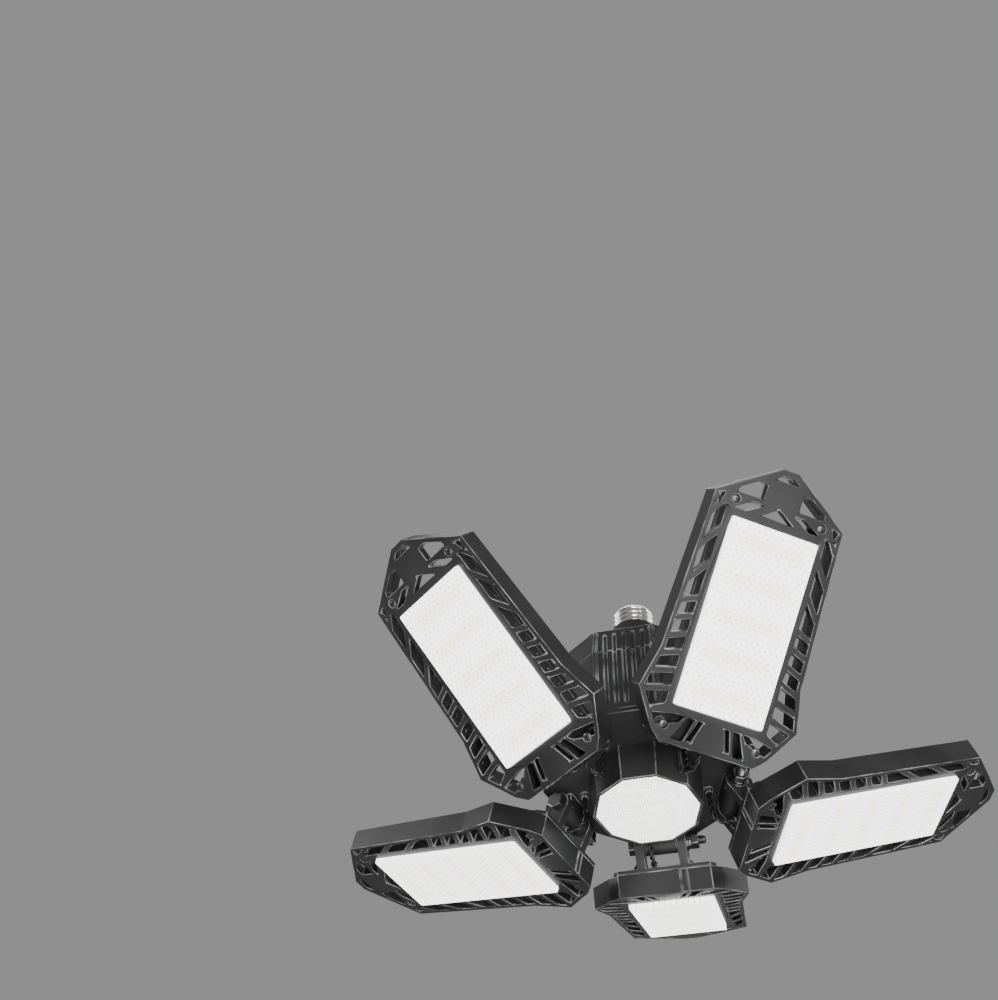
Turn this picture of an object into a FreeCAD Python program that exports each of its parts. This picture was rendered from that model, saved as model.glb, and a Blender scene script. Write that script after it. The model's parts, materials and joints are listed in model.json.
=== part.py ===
import FreeCAD, Part
import os
from math import cos, floor, pi, radians, sin, sqrt, tan

# A screw-in garage light with five folding panels.
# Frame: +Z up through the screw base, origin on the axis where the screw shell meets the neck,
# so the lamp hangs below the origin.  Lengths in millimetres, angles in degrees.
#
# A panel is drawn once, lying flat, in its own frame: the hinge axis is Y through the origin,
# +X runs outward along the panel, +Z is up and the light leaves downward.

# ------------------------------------------------------------------ driving sizes: whole lamp
PANEL_COUNT = 5
FACE_COUNT = 2 * PANEL_COUNT        # the housing has a plain face over each panel, a ribbed one between
FIRST_AZIMUTH = 18.0                # of panel 1; the others follow counter-clockwise from above
REST_TILTS = [17.0, 23.0, 13.0, 37.0, 40.0]   # outer end raised, as the lamp is posed

FIT = 0.2                           # clearance round parts that drop into each other
NECK_SIDES = 36                     # flats round the neck, the shell's turns and the insulator
HEAD_SIDES = 8                      # flats round screw heads, posts and bosses
SHANK_SIDES = 6                     # flats round thin screws and their holes

# ------------------------------------------------------------------ driving sizes: screw base
SHELL_RADIUS = 13.1                 # over the thread's crests, medium screw base
THREAD_PITCH = 3.63                 # seven turns to the inch
THREAD_DEPTH = 1.0
THREAD_TURNS = 4
CREST_SHARE = 0.3                   # of the pitch that the crest of a turn takes
SHELL_BAND = 1.0                    # plain band at the shell's mouth
SHELL_WALL = 0.8
SHELL_END_RADIUS = 9.6              # where the shell turns in to the insulator
SHELL_TURN_IN = 2.2
INSULATOR_HEIGHT = 4.2
CONTACT_RADIUS = 5.0
CONTACT_HEIGHT = 2.6
CONTACT_SHOULDER_RADIUS = 4.0
CONTACT_SHOULDER_HEIGHT = 1.6
CONTACT_TOP_RADIUS = 2.2

# ------------------------------------------------------------------ driving sizes: neck and driver housing
NECK_RADIUS = 15.0
NECK_FLARE_RADIUS = 19.0
NECK_STRAIGHT = 14.0
NECK_FLARE = 6.0
NECK_HEIGHT = 38.0
NECK_WALL = 2.4
HOUSING_RADIUS = 56.0               # over the corners of the ten-sided body
CAP_TAPER = 2.0                     # from the housing's corners in to those of the cap's upper rim
CAP_RADIUS = HOUSING_RADIUS - CAP_TAPER
CAP_WALL_HEIGHT = 18.0
CAP_SLOPE_HEIGHT = 8.0
BODY_HEIGHT = 42.0
HOUSING_WALL = 2.4
GROOVE_COUNT = 5
GROOVE_PITCH = 5.1
GROOVE_WIDTH = 1.9
GROOVE_DEPTH = 1.3
GROOVE_END_GAP = 4.5                # between a groove's round end and the housing's edge
CORNER_BEAD = 1.6                   # radius of the round bead at each corner of a grooved face
BEAD_PROUD = 0.9                    # how far the bead stands out of the face
BEAD_OFFSET = 1.4                   # of the bead from the corner, towards the grooved face
BEAD_END_GAP = 1.5
SCREW_INSET = 13.0                  # from the housing's corners in to the circle of the long screws
SCREW_CIRCLE = HOUSING_RADIUS - SCREW_INSET   # of the long screws that hold cap, body and hub plate together
LONG_SCREW_RADIUS = 1.5
SCREW_HEAD_RADIUS = 2.9
SCREW_HEAD_HEIGHT = 1.8
SCREW_POST_RADIUS = 3.6

# ------------------------------------------------------------------ driving sizes: driver
BOARD_RADIUS = 38.0
BOARD_THICKNESS = 1.6
BOARD_DEPTH = 30.0                  # of the driver board below the body's upper edge
CAPACITOR_RADIUS = 5.0
CAPACITOR_HEIGHT = 20.0
TRANSFORMER_SIZE = 18.0
TRANSFORMER_HEIGHT = 14.0
LEAD_RADIUS = 1.0
LEAD_SPACING = 4.0
CHOKE_RADIUS = 6.0
CHOKE_HEIGHT = 11.0
BOARD_TAB_WIDTH = 6.0               # of the tabs that reach the screw posts

# ------------------------------------------------------------------ driving sizes: hub and centre lamp
PLATE_THICKNESS = 3.0
CUP_TOP_RADIUS = 30.5               # over the corners
CUP_BOTTOM_RADIUS = 28.8
CUP_HEIGHT = 21.0
CUP_WALL = 1.6
CUP_RIDGE_WIDTH = 1.0
CUP_RIDGE_HEIGHT = 0.7
CUP_RIDGE_SPACING = 2.6
CUP_RIDGE_DROP = 2.0
CUP_RIDGE_LENGTH = 13.0
CUP_RIDGE_FACE = 8                  # the face of the cup that carries the two ridges
CUP_RIDGE_SIDE = 6.5                # of the pair from the middle of that face
LENS_EDGE = 2.6
LENS_DOME = 2.2
LENS_STEPS = 3                      # flats from the lens's edge to its middle
CENTRE_BOARD_SETBACK = 9.0
CENTRE_BOARD_THICKNESS = 1.4
CENTRE_CHIP_SIZE = 3.2
CENTRE_CHIP_HEIGHT = 0.8
CENTRE_CHIP_RING = 13.0             # radius of the ring of chips round the middle one
CENTRE_CHIP_COUNT = 5

# ------------------------------------------------------------------ driving sizes: hinge
HINGE_INSET = 10.0                  # from the housing's corners in to the hinge axes
HINGE_RADIUS = HOUSING_RADIUS - HINGE_INSET   # of the hinge axes from the lamp's axis
HINGE_DROP = 8.0                    # of the hinge axes below the hub plate
KNUCKLE_WIDTH = 18.0
KNUCKLE_RADIUS = 5.5
LUG_THICKNESS = 5.0
LUG_RADIUS = 6.6
LUG_STRAIGHT = 7.8                  # depth below the axis where the lug's foot starts to widen
LUG_FOOT = 6.0                      # extra length of the lug's foot on the outer side
GUSSET_WIDTH = 3.0
GUSSET_REACH = 3.2                  # sideways from the lug
GUSSET_HEIGHT = 4.0
SIDE_PLAY = 0.2                     # between the knuckle and each lug
BOLT_RADIUS = 2.5
BOLT_PLAY = 0.08                    # radial, in the knuckle's bore
LUG_PLAY = 0.04                     # radial, in the lugs
HEAD_CORNER_RADIUS = 4.7
HEAD_HEIGHT = 3.4
WASHER_RADIUS = 5.2
WASHER_THICKNESS = 1.0
SPRING_WASHER_RADIUS = 4.5
SPRING_WASHER_THICKNESS = 1.5
NUT_HEIGHT = 4.0
BOLT_END = 4.0                      # thread standing out of the nut

# ------------------------------------------------------------------ driving sizes: panel
WINDOW_LENGTH = 95.0
WINDOW_WIDTH = 47.0
WINDOW_START = 15.0                 # from the hinge axis to the window
FACE_DROP = 27.0                    # of the grille's face below the hinge axis
FRAME_DEPTH = 12.0
GRILLE_DEPTH = 5.0
RIM = 2.3                           # wall of the skirt
SKIRT_RIDGES = [-12.2, -8.8]        # across the inner end, one pair of upright ridges
SKIRT_RIDGE_WIDTH = 1.0
SKIRT_RIDGE_HEIGHT = 0.6
BORDER = 4.0                        # round the window
TIP_REACH = 30.0                    # of the tip beyond the window
TIP_FLAT = 8.5
SHOULDER_REACH = 10.0
SHOULDER_SIDE = 11.8                # half-widths are given as the reach beside the window
WAIST_FROM_START = 24.6
WAIST_SIDE = 14.5
HIP_FROM_START = 3.8
HIP_SIDE = 19.3
CORNER_REACH = 13.6
CORNER_SIDE = 7.5
INNER_REACH = 18.6
INNER_SIDE = 1.8
RIB_WIDTH = 3.0
RIB_FIRST = -2.3                    # first slanted rib, at the border, from the window's start
RIB_PITCH = 9.0
RIB_LEAN = 4.0                      # how far inward a slanted rib lands on the rim
STEEP_RIB_COUNT = 3
STEEP_RIB_PITCH = 17.4
STEEP_RIB_LEAN = 12.2
STEEP_RIB_LAST = 8.7                # beyond the window's outer end
BADGE_HALF_WIDTH = 9.9
BADGE_START = 12.2                  # from the window's outer end
BADGE_END = 20.5
HOLE_GAP = 0.3                      # a hole's least distance from the border
SINK_BASE = 2.0
FIN_TALL = 2.0
SINK_FIN_COUNT = 7
SINK_FIN_WIDTH = 1.6
BRIDGE_THICKNESS = 2.5
BRIDGE_HALF_WIDTH = 21.0
BOSS_RADIUS = 3.0
PANEL_SCREW_RADIUS = 1.2
PANEL_HEAD_RADIUS = 2.1
PANEL_HEAD_HEIGHT = 1.2
TIP_SCREW_REACH = 8.4
TIP_SCREW_SIDE = 0.2                # outward from the window's side
ROOT_SCREW_REACH = 10.5
ROOT_SCREW_HALF = 25.0
DIFFUSER_WALL = 1.4
DIFFUSER_PROUD = 2.3
LED_BOARD_MARGIN = 2.0
LED_BOARD_THICKNESS = 1.2
CHIP_ROWS = 5
CHIP_LENGTH = 33.0                  # of a row of chips under one strip of phosphor, across the panel
CHIP_WIDTH = 4.0
CHIP_HEIGHT = 0.7

# ------------------------------------------------------------------ driving sizes: cables over the hinges
CABLE_RADIUS = 1.5                  # round the twisted pair of wires
CABLE_SIDE = 4.5                    # to one side of the hinge's middle
CABLE_HUB_INSET = 11.5              # from a hinge axis in to the gland of its cable
CABLE_HUB_RADIUS = HINGE_RADIUS - CABLE_HUB_INSET
GLAND_RADIUS = 2.3
HUB_GLAND_HEIGHT = 3.0
CLAMP_LENGTH = 6.0                  # of the cable's clamp on the panel's bridge
CLAMP_SINK = 1.0                    # how deep the round clamp sits in the bridge
CABLE_TURNS = 3                     # bends between the panel's clamp and the straight run up to the hub
CABLE_SIDES = 6
BEND_SHARE = 0.45                   # of a run that the arc beside it takes

# ------------------------------------------------------------------ heights that follow
CAP_RIM_Z = -NECK_HEIGHT - CAP_SLOPE_HEIGHT
BODY_TOP_Z = CAP_RIM_Z - CAP_WALL_HEIGHT
BODY_BOTTOM_Z = BODY_TOP_Z - BODY_HEIGHT
PLATE_Z = BODY_BOTTOM_Z - PLATE_THICKNESS      # the hub plate's underside
HINGE_Z = PLATE_Z - HINGE_DROP
CUP_BOTTOM_Z = PLATE_Z - CUP_HEIGHT
FACE_AZIMUTH = 360.0 / FACE_COUNT
PANEL_AZIMUTH = 360.0 / PANEL_COUNT
LUG_INNER = KNUCKLE_WIDTH / 2 + SIDE_PLAY
LUG_OUTER = LUG_INNER + LUG_THICKNESS
FACE_Z = -FACE_DROP
BACK_Z = FACE_Z + FRAME_DEPTH                  # the skirt's back edge
SINK_Z = BACK_Z - FIN_TALL - SINK_BASE         # underside of the heat sink, where the frame seats
BRIDGE_Z = BACK_Z + BRIDGE_THICKNESS
WINDOW_END = WINDOW_START + WINDOW_LENGTH
INNER_X = WINDOW_START - INNER_REACH
CLAMP_Z = BRIDGE_Z + GLAND_RADIUS - CLAMP_SINK # middle of the cable where it leaves the panel
HALF_WINDOW = WINDOW_WIDTH / 2
BORDER_Y = HALF_WINDOW + BORDER


# ------------------------------------------------------------------ drawing helpers
def vector(x, y, z):
    return FreeCAD.Vector(x, y, z)


def prism(points, low, high):
    """A straight-sided solid on a flat outline of (x, y) points, from height low to height high."""
    corners = [vector(x, y, low) for x, y in points]
    face = Part.Face(Part.makePolygon(corners + corners[:1]))
    return face.extrude(vector(0, 0, high - low))


def box(x_span, y_span, z_span):
    """A block between two limits on each axis."""
    size = [span[1] - span[0] for span in (x_span, y_span, z_span)]
    return Part.makeBox(*size, vector(x_span[0], y_span[0], z_span[0]))


def post(radius, low, high, x=0.0, y=0.0):
    """An upright cylinder."""
    return Part.makeCylinder(radius, high - low, vector(x, y, low))


def peg(radius, low, high, x=0.0, y=0.0, sides=HEAD_SIDES):
    """A small upright round piece, or its hole, drawn with a few flats; radius is over the corners."""
    return prism([(x + px, y + py) for px, py in regular(radius, sides)], low, high)


def cross_bar(radius, start_y, end_y):
    """A cylinder along the hinge axis."""
    return Part.makeCylinder(radius, end_y - start_y, vector(0, start_y, 0), vector(0, 1, 0))


def regular(radius, sides, turn=0.0):
    """Corners of a regular outline."""
    step = 360.0 / sides
    angles = [radians(turn + step * k) for k in range(sides)]
    return [(radius * cos(angle), radius * sin(angle)) for angle in angles]


def turned_flats(profile, sides):
    """A solid with flat bands round the lamp's axis, from a closed outline of (corner radius, height)."""
    rings = [[vector(x, y, height) for x, y in regular(radius, sides)] for radius, height in profile]
    faces = []
    for lower, upper in zip(rings, rings[1:] + rings[:1]):
        for k in range(sides):
            band = [lower[k - 1], lower[k], upper[k], upper[k - 1]]
            corners = []
            for corner in band:
                if all((corner - other).Length > 1e-6 for other in corners):
                    corners.append(corner)
            if len(corners) > 2:
                faces.append(Part.Face(Part.makePolygon(corners + corners[:1])))
    solid = Part.Solid(Part.makeShell(faces))
    if solid.Volume < 0:
        solid.reverse()
    return solid


def frustum(radius_low, low, radius_high, high):
    """A ten-sided solid whose corner radius changes with height."""
    return turned_flats([(0.0, low), (radius_low, low), (radius_high, high), (0.0, high)], FACE_COUNT)


def mirrored_outline(half):
    """A closed outline from its half on the +Y side."""
    return half + [(x, -y) for x, y in reversed(half)]


def inset(points, distance):
    """A closed counter-clockwise or clockwise outline moved inward, corner by corner."""
    area = sum(a[0] * b[1] - b[0] * a[1] for a, b in zip(points, points[1:] + points[:1]))
    inward = 1.0 if area > 0 else -1.0
    edges = []
    for start, end in zip(points, points[1:] + points[:1]):
        run_x = end[0] - start[0]
        run_y = end[1] - start[1]
        length = sqrt(run_x ** 2 + run_y ** 2)
        shift_x = -run_y / length * distance * inward
        shift_y = run_x / length * distance * inward
        edges.append((start[0] + shift_x, start[1] + shift_y, run_x, run_y))
    moved = []
    for before, after in zip(edges[-1:] + edges[:-1], edges):
        cross = before[2] * after[3] - before[3] * after[2]
        gap_x = after[0] - before[0]
        gap_y = after[1] - before[1]
        along = (gap_x * after[3] - gap_y * after[2]) / cross
        moved.append((before[0] + along * before[2], before[1] + along * before[3]))
    return moved


def bar(start, end, width, low, high):
    """A straight rib between two (x, y) points."""
    run_x = end[0] - start[0]
    run_y = end[1] - start[1]
    length = sqrt(run_x ** 2 + run_y ** 2)
    side_x = -run_y / length * width / 2
    side_y = run_x / length * width / 2
    corners = [
        (start[0] + side_x, start[1] + side_y),
        (end[0] + side_x, end[1] + side_y),
        (end[0] - side_x, end[1] - side_y),
        (start[0] - side_x, start[1] - side_y),
    ]
    return prism(corners, low, high)


def mirror_y(shape):
    """The same shape on the other side of the panel's middle."""
    return shape.mirror(vector(0, 0, 0), vector(0, 1, 0))


def turned(shape, azimuth):
    """A copy turned about the lamp's axis."""
    return shape.rotated(vector(0, 0, 0), vector(0, 0, 1), azimuth)


def seat_panel(shape, index):
    """A copy moved from the panel's own frame to panel number index, at its rest tilt."""
    tilt = FreeCAD.Placement(vector(0, 0, 0), FreeCAD.Rotation(vector(0, 1, 0), -REST_TILTS[index]))
    hinge = FreeCAD.Placement(vector(HINGE_RADIUS, 0, HINGE_Z), FreeCAD.Rotation())
    azimuth = FIRST_AZIMUTH + PANEL_AZIMUTH * index
    swing = FreeCAD.Placement(vector(0, 0, 0), FreeCAD.Rotation(vector(0, 0, 1), azimuth))
    return shape.transformed(swing.multiply(hinge).multiply(tilt).toMatrix(), True)


# ------------------------------------------------------------------ screw base
def shell_heights():
    """Where the threaded stretch and the whole shell end."""
    thread_end = THREAD_TURNS * THREAD_PITCH
    return thread_end, thread_end + SHELL_TURN_IN


def make_screw_shell():
    """The threaded shell: a plain band at its mouth, turns drawn as rings, then the turned-in end."""
    root = SHELL_RADIUS - THREAD_DEPTH
    bore = root - SHELL_WALL
    thread_end, shell_end = shell_heights()
    outside = [(root, 0.0)]
    for turn in range(THREAD_TURNS):
        middle = (turn + 0.5) * THREAD_PITCH
        outside.append((SHELL_RADIUS, middle - CREST_SHARE / 2 * THREAD_PITCH))
        outside.append((SHELL_RADIUS, middle + CREST_SHARE / 2 * THREAD_PITCH))
        outside.append((root, (turn + 1) * THREAD_PITCH))
    outside.append((SHELL_END_RADIUS, shell_end))
    inside = [(SHELL_END_RADIUS - SHELL_WALL, shell_end), (bore, thread_end), (bore, 0.0)]
    band = post(SHELL_RADIUS, 0.0, SHELL_BAND).cut(post(root - SHELL_WALL / 2, 0.0, SHELL_BAND))
    return turned_flats(outside + inside, NECK_SIDES).fuse(band).removeSplitter()


def make_base_insulator():
    """The cone between the shell and the centre contact, seated inside the shell's end."""
    thread_end, shell_end = shell_heights()
    bore = SHELL_RADIUS - THREAD_DEPTH - SHELL_WALL
    profile = [
        (0.0, thread_end - SHELL_WALL),
        (bore, thread_end - SHELL_WALL),
        (bore, thread_end),
        (SHELL_END_RADIUS - SHELL_WALL, shell_end),
        (CONTACT_RADIUS, shell_end + INSULATOR_HEIGHT),
        (0.0, shell_end + INSULATOR_HEIGHT),
    ]
    return turned_flats(profile, NECK_SIDES)


def make_centre_contact():
    """The rounded contact on the insulator."""
    bottom = shell_heights()[1] + INSULATOR_HEIGHT
    profile = [
        (0.0, bottom),
        (CONTACT_RADIUS, bottom),
        (CONTACT_SHOULDER_RADIUS, bottom + CONTACT_SHOULDER_HEIGHT),
        (CONTACT_TOP_RADIUS, bottom + CONTACT_HEIGHT),
        (0.0, bottom + CONTACT_HEIGHT),
    ]
    return turned_flats(profile, HEAD_SIDES)


def make_neck_collar():
    """The tube between the housing cap and the shell; its top lip closes the shell's mouth."""
    bore = NECK_RADIUS - NECK_WALL
    lower_bore = NECK_FLARE_RADIUS - NECK_WALL
    lip = SHELL_RADIUS - THREAD_DEPTH - SHELL_WALL - NECK_WALL
    flare_z = -NECK_STRAIGHT - NECK_FLARE
    profile = [
        (NECK_RADIUS, 0.0),
        (NECK_RADIUS, -NECK_STRAIGHT),
        (NECK_FLARE_RADIUS, flare_z),
        (NECK_FLARE_RADIUS, -NECK_HEIGHT),
        (lower_bore, -NECK_HEIGHT),
        (lower_bore, flare_z),
        (bore, -NECK_STRAIGHT),
        (bore, -NECK_WALL),
        (lip, -NECK_WALL),
        (lip, 0.0),
    ]
    return turned_flats(profile, NECK_SIDES)


# ------------------------------------------------------------------ driver housing
def screw_places():
    """Azimuths of the long screws, one behind each ribbed face."""
    first = FIRST_AZIMUTH + FACE_AZIMUTH
    return [first + PANEL_AZIMUTH * k for k in range(PANEL_COUNT)]


def cap_height_at(radius):
    """Height of the cap's sloping top over a distance from the axis, along a face's middle."""
    rim = CAP_RADIUS * cos(pi / FACE_COUNT)
    share = (rim - radius) / (rim - NECK_FLARE_RADIUS)
    return CAP_RIM_Z + CAP_SLOPE_HEIGHT * share


def face_corner(height):
    """Distance of the housing's corners from the axis at a height."""
    if height <= BODY_TOP_Z:
        return HOUSING_RADIUS
    return HOUSING_RADIUS - (HOUSING_RADIUS - CAP_RADIUS) * (height - BODY_TOP_Z) / CAP_WALL_HEIGHT


def groove_cutters(low, high, round_z):
    """Cutters for the upright grooves of one face, each with a blunt end just past height round_z."""
    floors = [face_corner(height) * cos(pi / FACE_COUNT) - GROOVE_DEPTH for height in (low, high)]
    outward = 1.0 if round_z == high else -1.0
    half = GROOVE_WIDTH / 2
    end_z = round_z + outward * half
    open_z = low if round_z == high else high
    outline = [(-half, open_z), (half, open_z), (half, round_z), (half / 2, end_z), (-half / 2, end_z),
               (-half, round_z)]
    corners = [vector(0, y, z) for y, z in outline]
    slot = Part.Face(Part.makePolygon(corners + corners[:1])).extrude(vector(HOUSING_RADIUS, 0, 0))
    core = [
        vector(floors[0], -HOUSING_RADIUS, low - half),
        vector(0, -HOUSING_RADIUS, low - half),
        vector(0, -HOUSING_RADIUS, high + half),
        vector(floors[1], -HOUSING_RADIUS, high + half),
    ]
    core = Part.Face(Part.makePolygon(core + core[:1])).extrude(vector(0, 2 * HOUSING_RADIUS, 0))
    cutter = slot.cut(core)
    first = -(GROOVE_COUNT - 1) / 2 * GROOVE_PITCH
    return [cutter.translated(vector(0, first + k * GROOVE_PITCH, 0)) for k in range(GROOVE_COUNT)]


def corner_beads(low, high):
    """The blunt beads at the two corners of one grooved face."""
    section = [(-CORNER_BEAD, -CORNER_BEAD), (0.0, -CORNER_BEAD), (BEAD_PROUD, -CORNER_BEAD / 2),
               (BEAD_PROUD, CORNER_BEAD / 2), (0.0, CORNER_BEAD), (-CORNER_BEAD, CORNER_BEAD)]
    beads = []
    for side in (-1, 1):
        ends = []
        for height in (low, high):
            x = face_corner(height) * cos(pi / FACE_COUNT)
            y = side * (face_corner(height) * sin(pi / FACE_COUNT) - BEAD_OFFSET)
            corners = [vector(x + out, y + across, height) for out, across in section]
            ends.append(Part.makePolygon(corners + corners[:1]))
        beads.append(flat_sided(ends))
    return beads


def flat_sided(ends):
    """A solid with flat sides between two outlines with as many corners."""
    lower, upper = [[vertex.Point for vertex in end.OrderedVertexes] for end in ends]
    faces = [Part.Face(end) for end in ends]
    for k in range(len(lower)):
        corners = [lower[k - 1], lower[k], upper[k], upper[k - 1]]
        faces.append(Part.Face(Part.makePolygon(corners + corners[:1])))
    solid = Part.Solid(Part.makeShell(faces))
    if solid.Volume < 0:
        solid.reverse()
    return solid


def make_housing_cap():
    """The cap: a ten-sided wall that leans in a little under a shallow sloping top."""
    flats = cos(pi / FACE_COUNT)
    thin = HOUSING_WALL / flats
    profile = [
        (HOUSING_RADIUS, BODY_TOP_Z),
        (CAP_RADIUS, CAP_RIM_Z),
        (NECK_FLARE_RADIUS / flats, -NECK_HEIGHT),
        ((NECK_FLARE_RADIUS - NECK_WALL) / flats, -NECK_HEIGHT),
        ((NECK_FLARE_RADIUS - NECK_WALL) / flats, -NECK_HEIGHT - HOUSING_WALL),
        (CAP_RADIUS - thin, CAP_RIM_Z - HOUSING_WALL),
        (HOUSING_RADIUS - thin, BODY_TOP_Z),
    ]
    cap = turned_flats(profile, FACE_COUNT)
    head_seat = cap_height_at(SCREW_CIRCLE) - SCREW_HEAD_HEIGHT - FIT
    additions = []
    cuts = []
    for azimuth in screw_places():
        beads = corner_beads(BODY_TOP_Z, CAP_RIM_Z - BEAD_END_GAP)
        column = peg(SCREW_POST_RADIUS, BODY_TOP_Z, head_seat, x=SCREW_CIRCLE)
        additions += [turned(piece, azimuth) for piece in [column] + beads]
        cutters = groove_cutters(BODY_TOP_Z, CAP_RIM_Z - GROOVE_END_GAP, CAP_RIM_Z - GROOVE_END_GAP)
        cutters.append(peg(SCREW_HEAD_RADIUS + FIT, head_seat, 0.0, x=SCREW_CIRCLE))
        cutters.append(
            peg(LONG_SCREW_RADIUS, BODY_TOP_Z, 0.0, x=SCREW_CIRCLE, sides=SHANK_SIDES)
        )
        cuts += [turned(cutter, azimuth) for cutter in cutters]
    return cap.fuse(additions).cut(cuts).removeSplitter()


def make_housing_body():
    """The ten-sided body: plain faces over the panels, grooved faces with corner beads between."""
    thin = HOUSING_WALL / cos(pi / FACE_COUNT)
    body = prism(regular(HOUSING_RADIUS, FACE_COUNT), BODY_BOTTOM_Z, BODY_TOP_Z)
    body = body.cut(prism(regular(HOUSING_RADIUS - thin, FACE_COUNT), BODY_BOTTOM_Z, BODY_TOP_Z))
    apothem = HOUSING_RADIUS * cos(pi / FACE_COUNT)
    groove_end = BODY_BOTTOM_Z + GROOVE_END_GAP
    additions = []
    cuts = []
    for azimuth in screw_places():
        column = peg(SCREW_POST_RADIUS, BODY_BOTTOM_Z, BODY_TOP_Z, x=SCREW_CIRCLE)
        web = box(
            (SCREW_CIRCLE, apothem - HOUSING_WALL / 2),
            (-LONG_SCREW_RADIUS, LONG_SCREW_RADIUS),
            (BODY_BOTTOM_Z, BODY_TOP_Z),
        )
        pieces = corner_beads(BODY_BOTTOM_Z + BEAD_END_GAP, BODY_TOP_Z) + [column, web]
        additions += [turned(piece, azimuth) for piece in pieces]
        cutters = groove_cutters(groove_end, BODY_TOP_Z, groove_end)
        cutters.append(
            peg(LONG_SCREW_RADIUS, BODY_BOTTOM_Z, BODY_TOP_Z, x=SCREW_CIRCLE, sides=SHANK_SIDES)
        )
        cuts += [turned(cutter, azimuth) for cutter in cutters]
    return body.fuse(additions).cut(cuts).removeSplitter()


def make_housing_screws():
    """Long screws from the cap's top, through the posts, into the hub plate."""
    head_seat = cap_height_at(SCREW_CIRCLE) - SCREW_HEAD_HEIGHT - FIT
    screws = []
    for azimuth in screw_places():
        tip = BODY_BOTTOM_Z - PLATE_THICKNESS / 2
        shank = peg(LONG_SCREW_RADIUS, tip, head_seat, x=SCREW_CIRCLE, sides=SHANK_SIDES)
        head = peg(SCREW_HEAD_RADIUS, head_seat, head_seat + SCREW_HEAD_HEIGHT, x=SCREW_CIRCLE)
        screws.append(turned(shank.fuse(head).removeSplitter(), azimuth))
    return Part.makeCompound(screws)


# ------------------------------------------------------------------ driver
def make_driver_board():
    """The round driver board, held by its edge between the screw posts."""
    top = BODY_TOP_Z - BOARD_DEPTH
    board = prism(regular(BOARD_RADIUS, NECK_SIDES), top - BOARD_THICKNESS, top)
    half = BOARD_TAB_WIDTH / 2
    for azimuth in screw_places():
        tab = box((0.0, SCREW_CIRCLE - SCREW_POST_RADIUS), (-half, half), (top - BOARD_THICKNESS, top))
        board = board.fuse(turned(tab, azimuth))
    return board.removeSplitter()


def make_driver_parts():
    """The tall parts on the board: two capacitors, a transformer, a choke and the leads up to the base."""
    floor_z = BODY_TOP_Z - BOARD_DEPTH
    shift = TRANSFORMER_SIZE / 2 + CAPACITOR_RADIUS + 2 * FIT
    parts = [
        box(
            (-TRANSFORMER_SIZE / 2, TRANSFORMER_SIZE / 2),
            (-TRANSFORMER_SIZE / 2, TRANSFORMER_SIZE / 2),
            (floor_z, floor_z + TRANSFORMER_HEIGHT),
        ),
        peg(CAPACITOR_RADIUS, floor_z, floor_z + CAPACITOR_HEIGHT, x=shift),
        peg(CAPACITOR_RADIUS, floor_z, floor_z + CAPACITOR_HEIGHT, x=-shift),
        peg(CHOKE_RADIUS, floor_z, floor_z + CHOKE_HEIGHT, y=TRANSFORMER_SIZE / 2 + CHOKE_RADIUS + FIT),
    ]
    lead_y = -TRANSFORMER_SIZE / 2 - 2 * LEAD_RADIUS
    for side in (-1, 1):
        parts.append(
            peg(LEAD_RADIUS, floor_z, -NECK_WALL, side * LEAD_SPACING / 2, lead_y, SHANK_SIDES)
        )
    return Part.makeCompound(parts)


# ------------------------------------------------------------------ hub and centre lamp
def make_hub_plate():
    """The casting under the body: a ten-sided plate with one knuckle and one cable gland per panel."""
    plate = prism(regular(HOUSING_RADIUS, FACE_COUNT), PLATE_Z, BODY_BOTTOM_Z)
    half = KNUCKLE_WIDTH / 2
    web = box((-KNUCKLE_RADIUS, KNUCKLE_RADIUS), (-half, half), (0.0, HINGE_DROP))
    knuckle = web.fuse(cross_bar(KNUCKLE_RADIUS, -half, half))
    knuckle = knuckle.cut(cross_bar(BOLT_RADIUS + BOLT_PLAY, -half - 1.0, half + 1.0))
    knuckle.translate(vector(HINGE_RADIUS, 0, HINGE_Z))
    gland = peg(GLAND_RADIUS, PLATE_Z - HUB_GLAND_HEIGHT, PLATE_Z, CABLE_HUB_RADIUS, CABLE_SIDE)
    for k in range(PANEL_COUNT):
        azimuth = FIRST_AZIMUTH + PANEL_AZIMUTH * k
        plate = plate.fuse([turned(knuckle, azimuth), turned(gland, azimuth)])
    for azimuth in screw_places():
        tip = BODY_BOTTOM_Z - PLATE_THICKNESS / 2
        bore = peg(LONG_SCREW_RADIUS, tip, BODY_BOTTOM_Z, x=SCREW_CIRCLE, sides=SHANK_SIDES)
        plate = plate.cut(turned(bore, azimuth))
    return plate.removeSplitter()


def cup_corner(height_above_bottom):
    """Corner radius of the cup's outside at a height above its lower rim."""
    return CUP_BOTTOM_RADIUS + (CUP_TOP_RADIUS - CUP_BOTTOM_RADIUS) * height_above_bottom / CUP_HEIGHT


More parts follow.
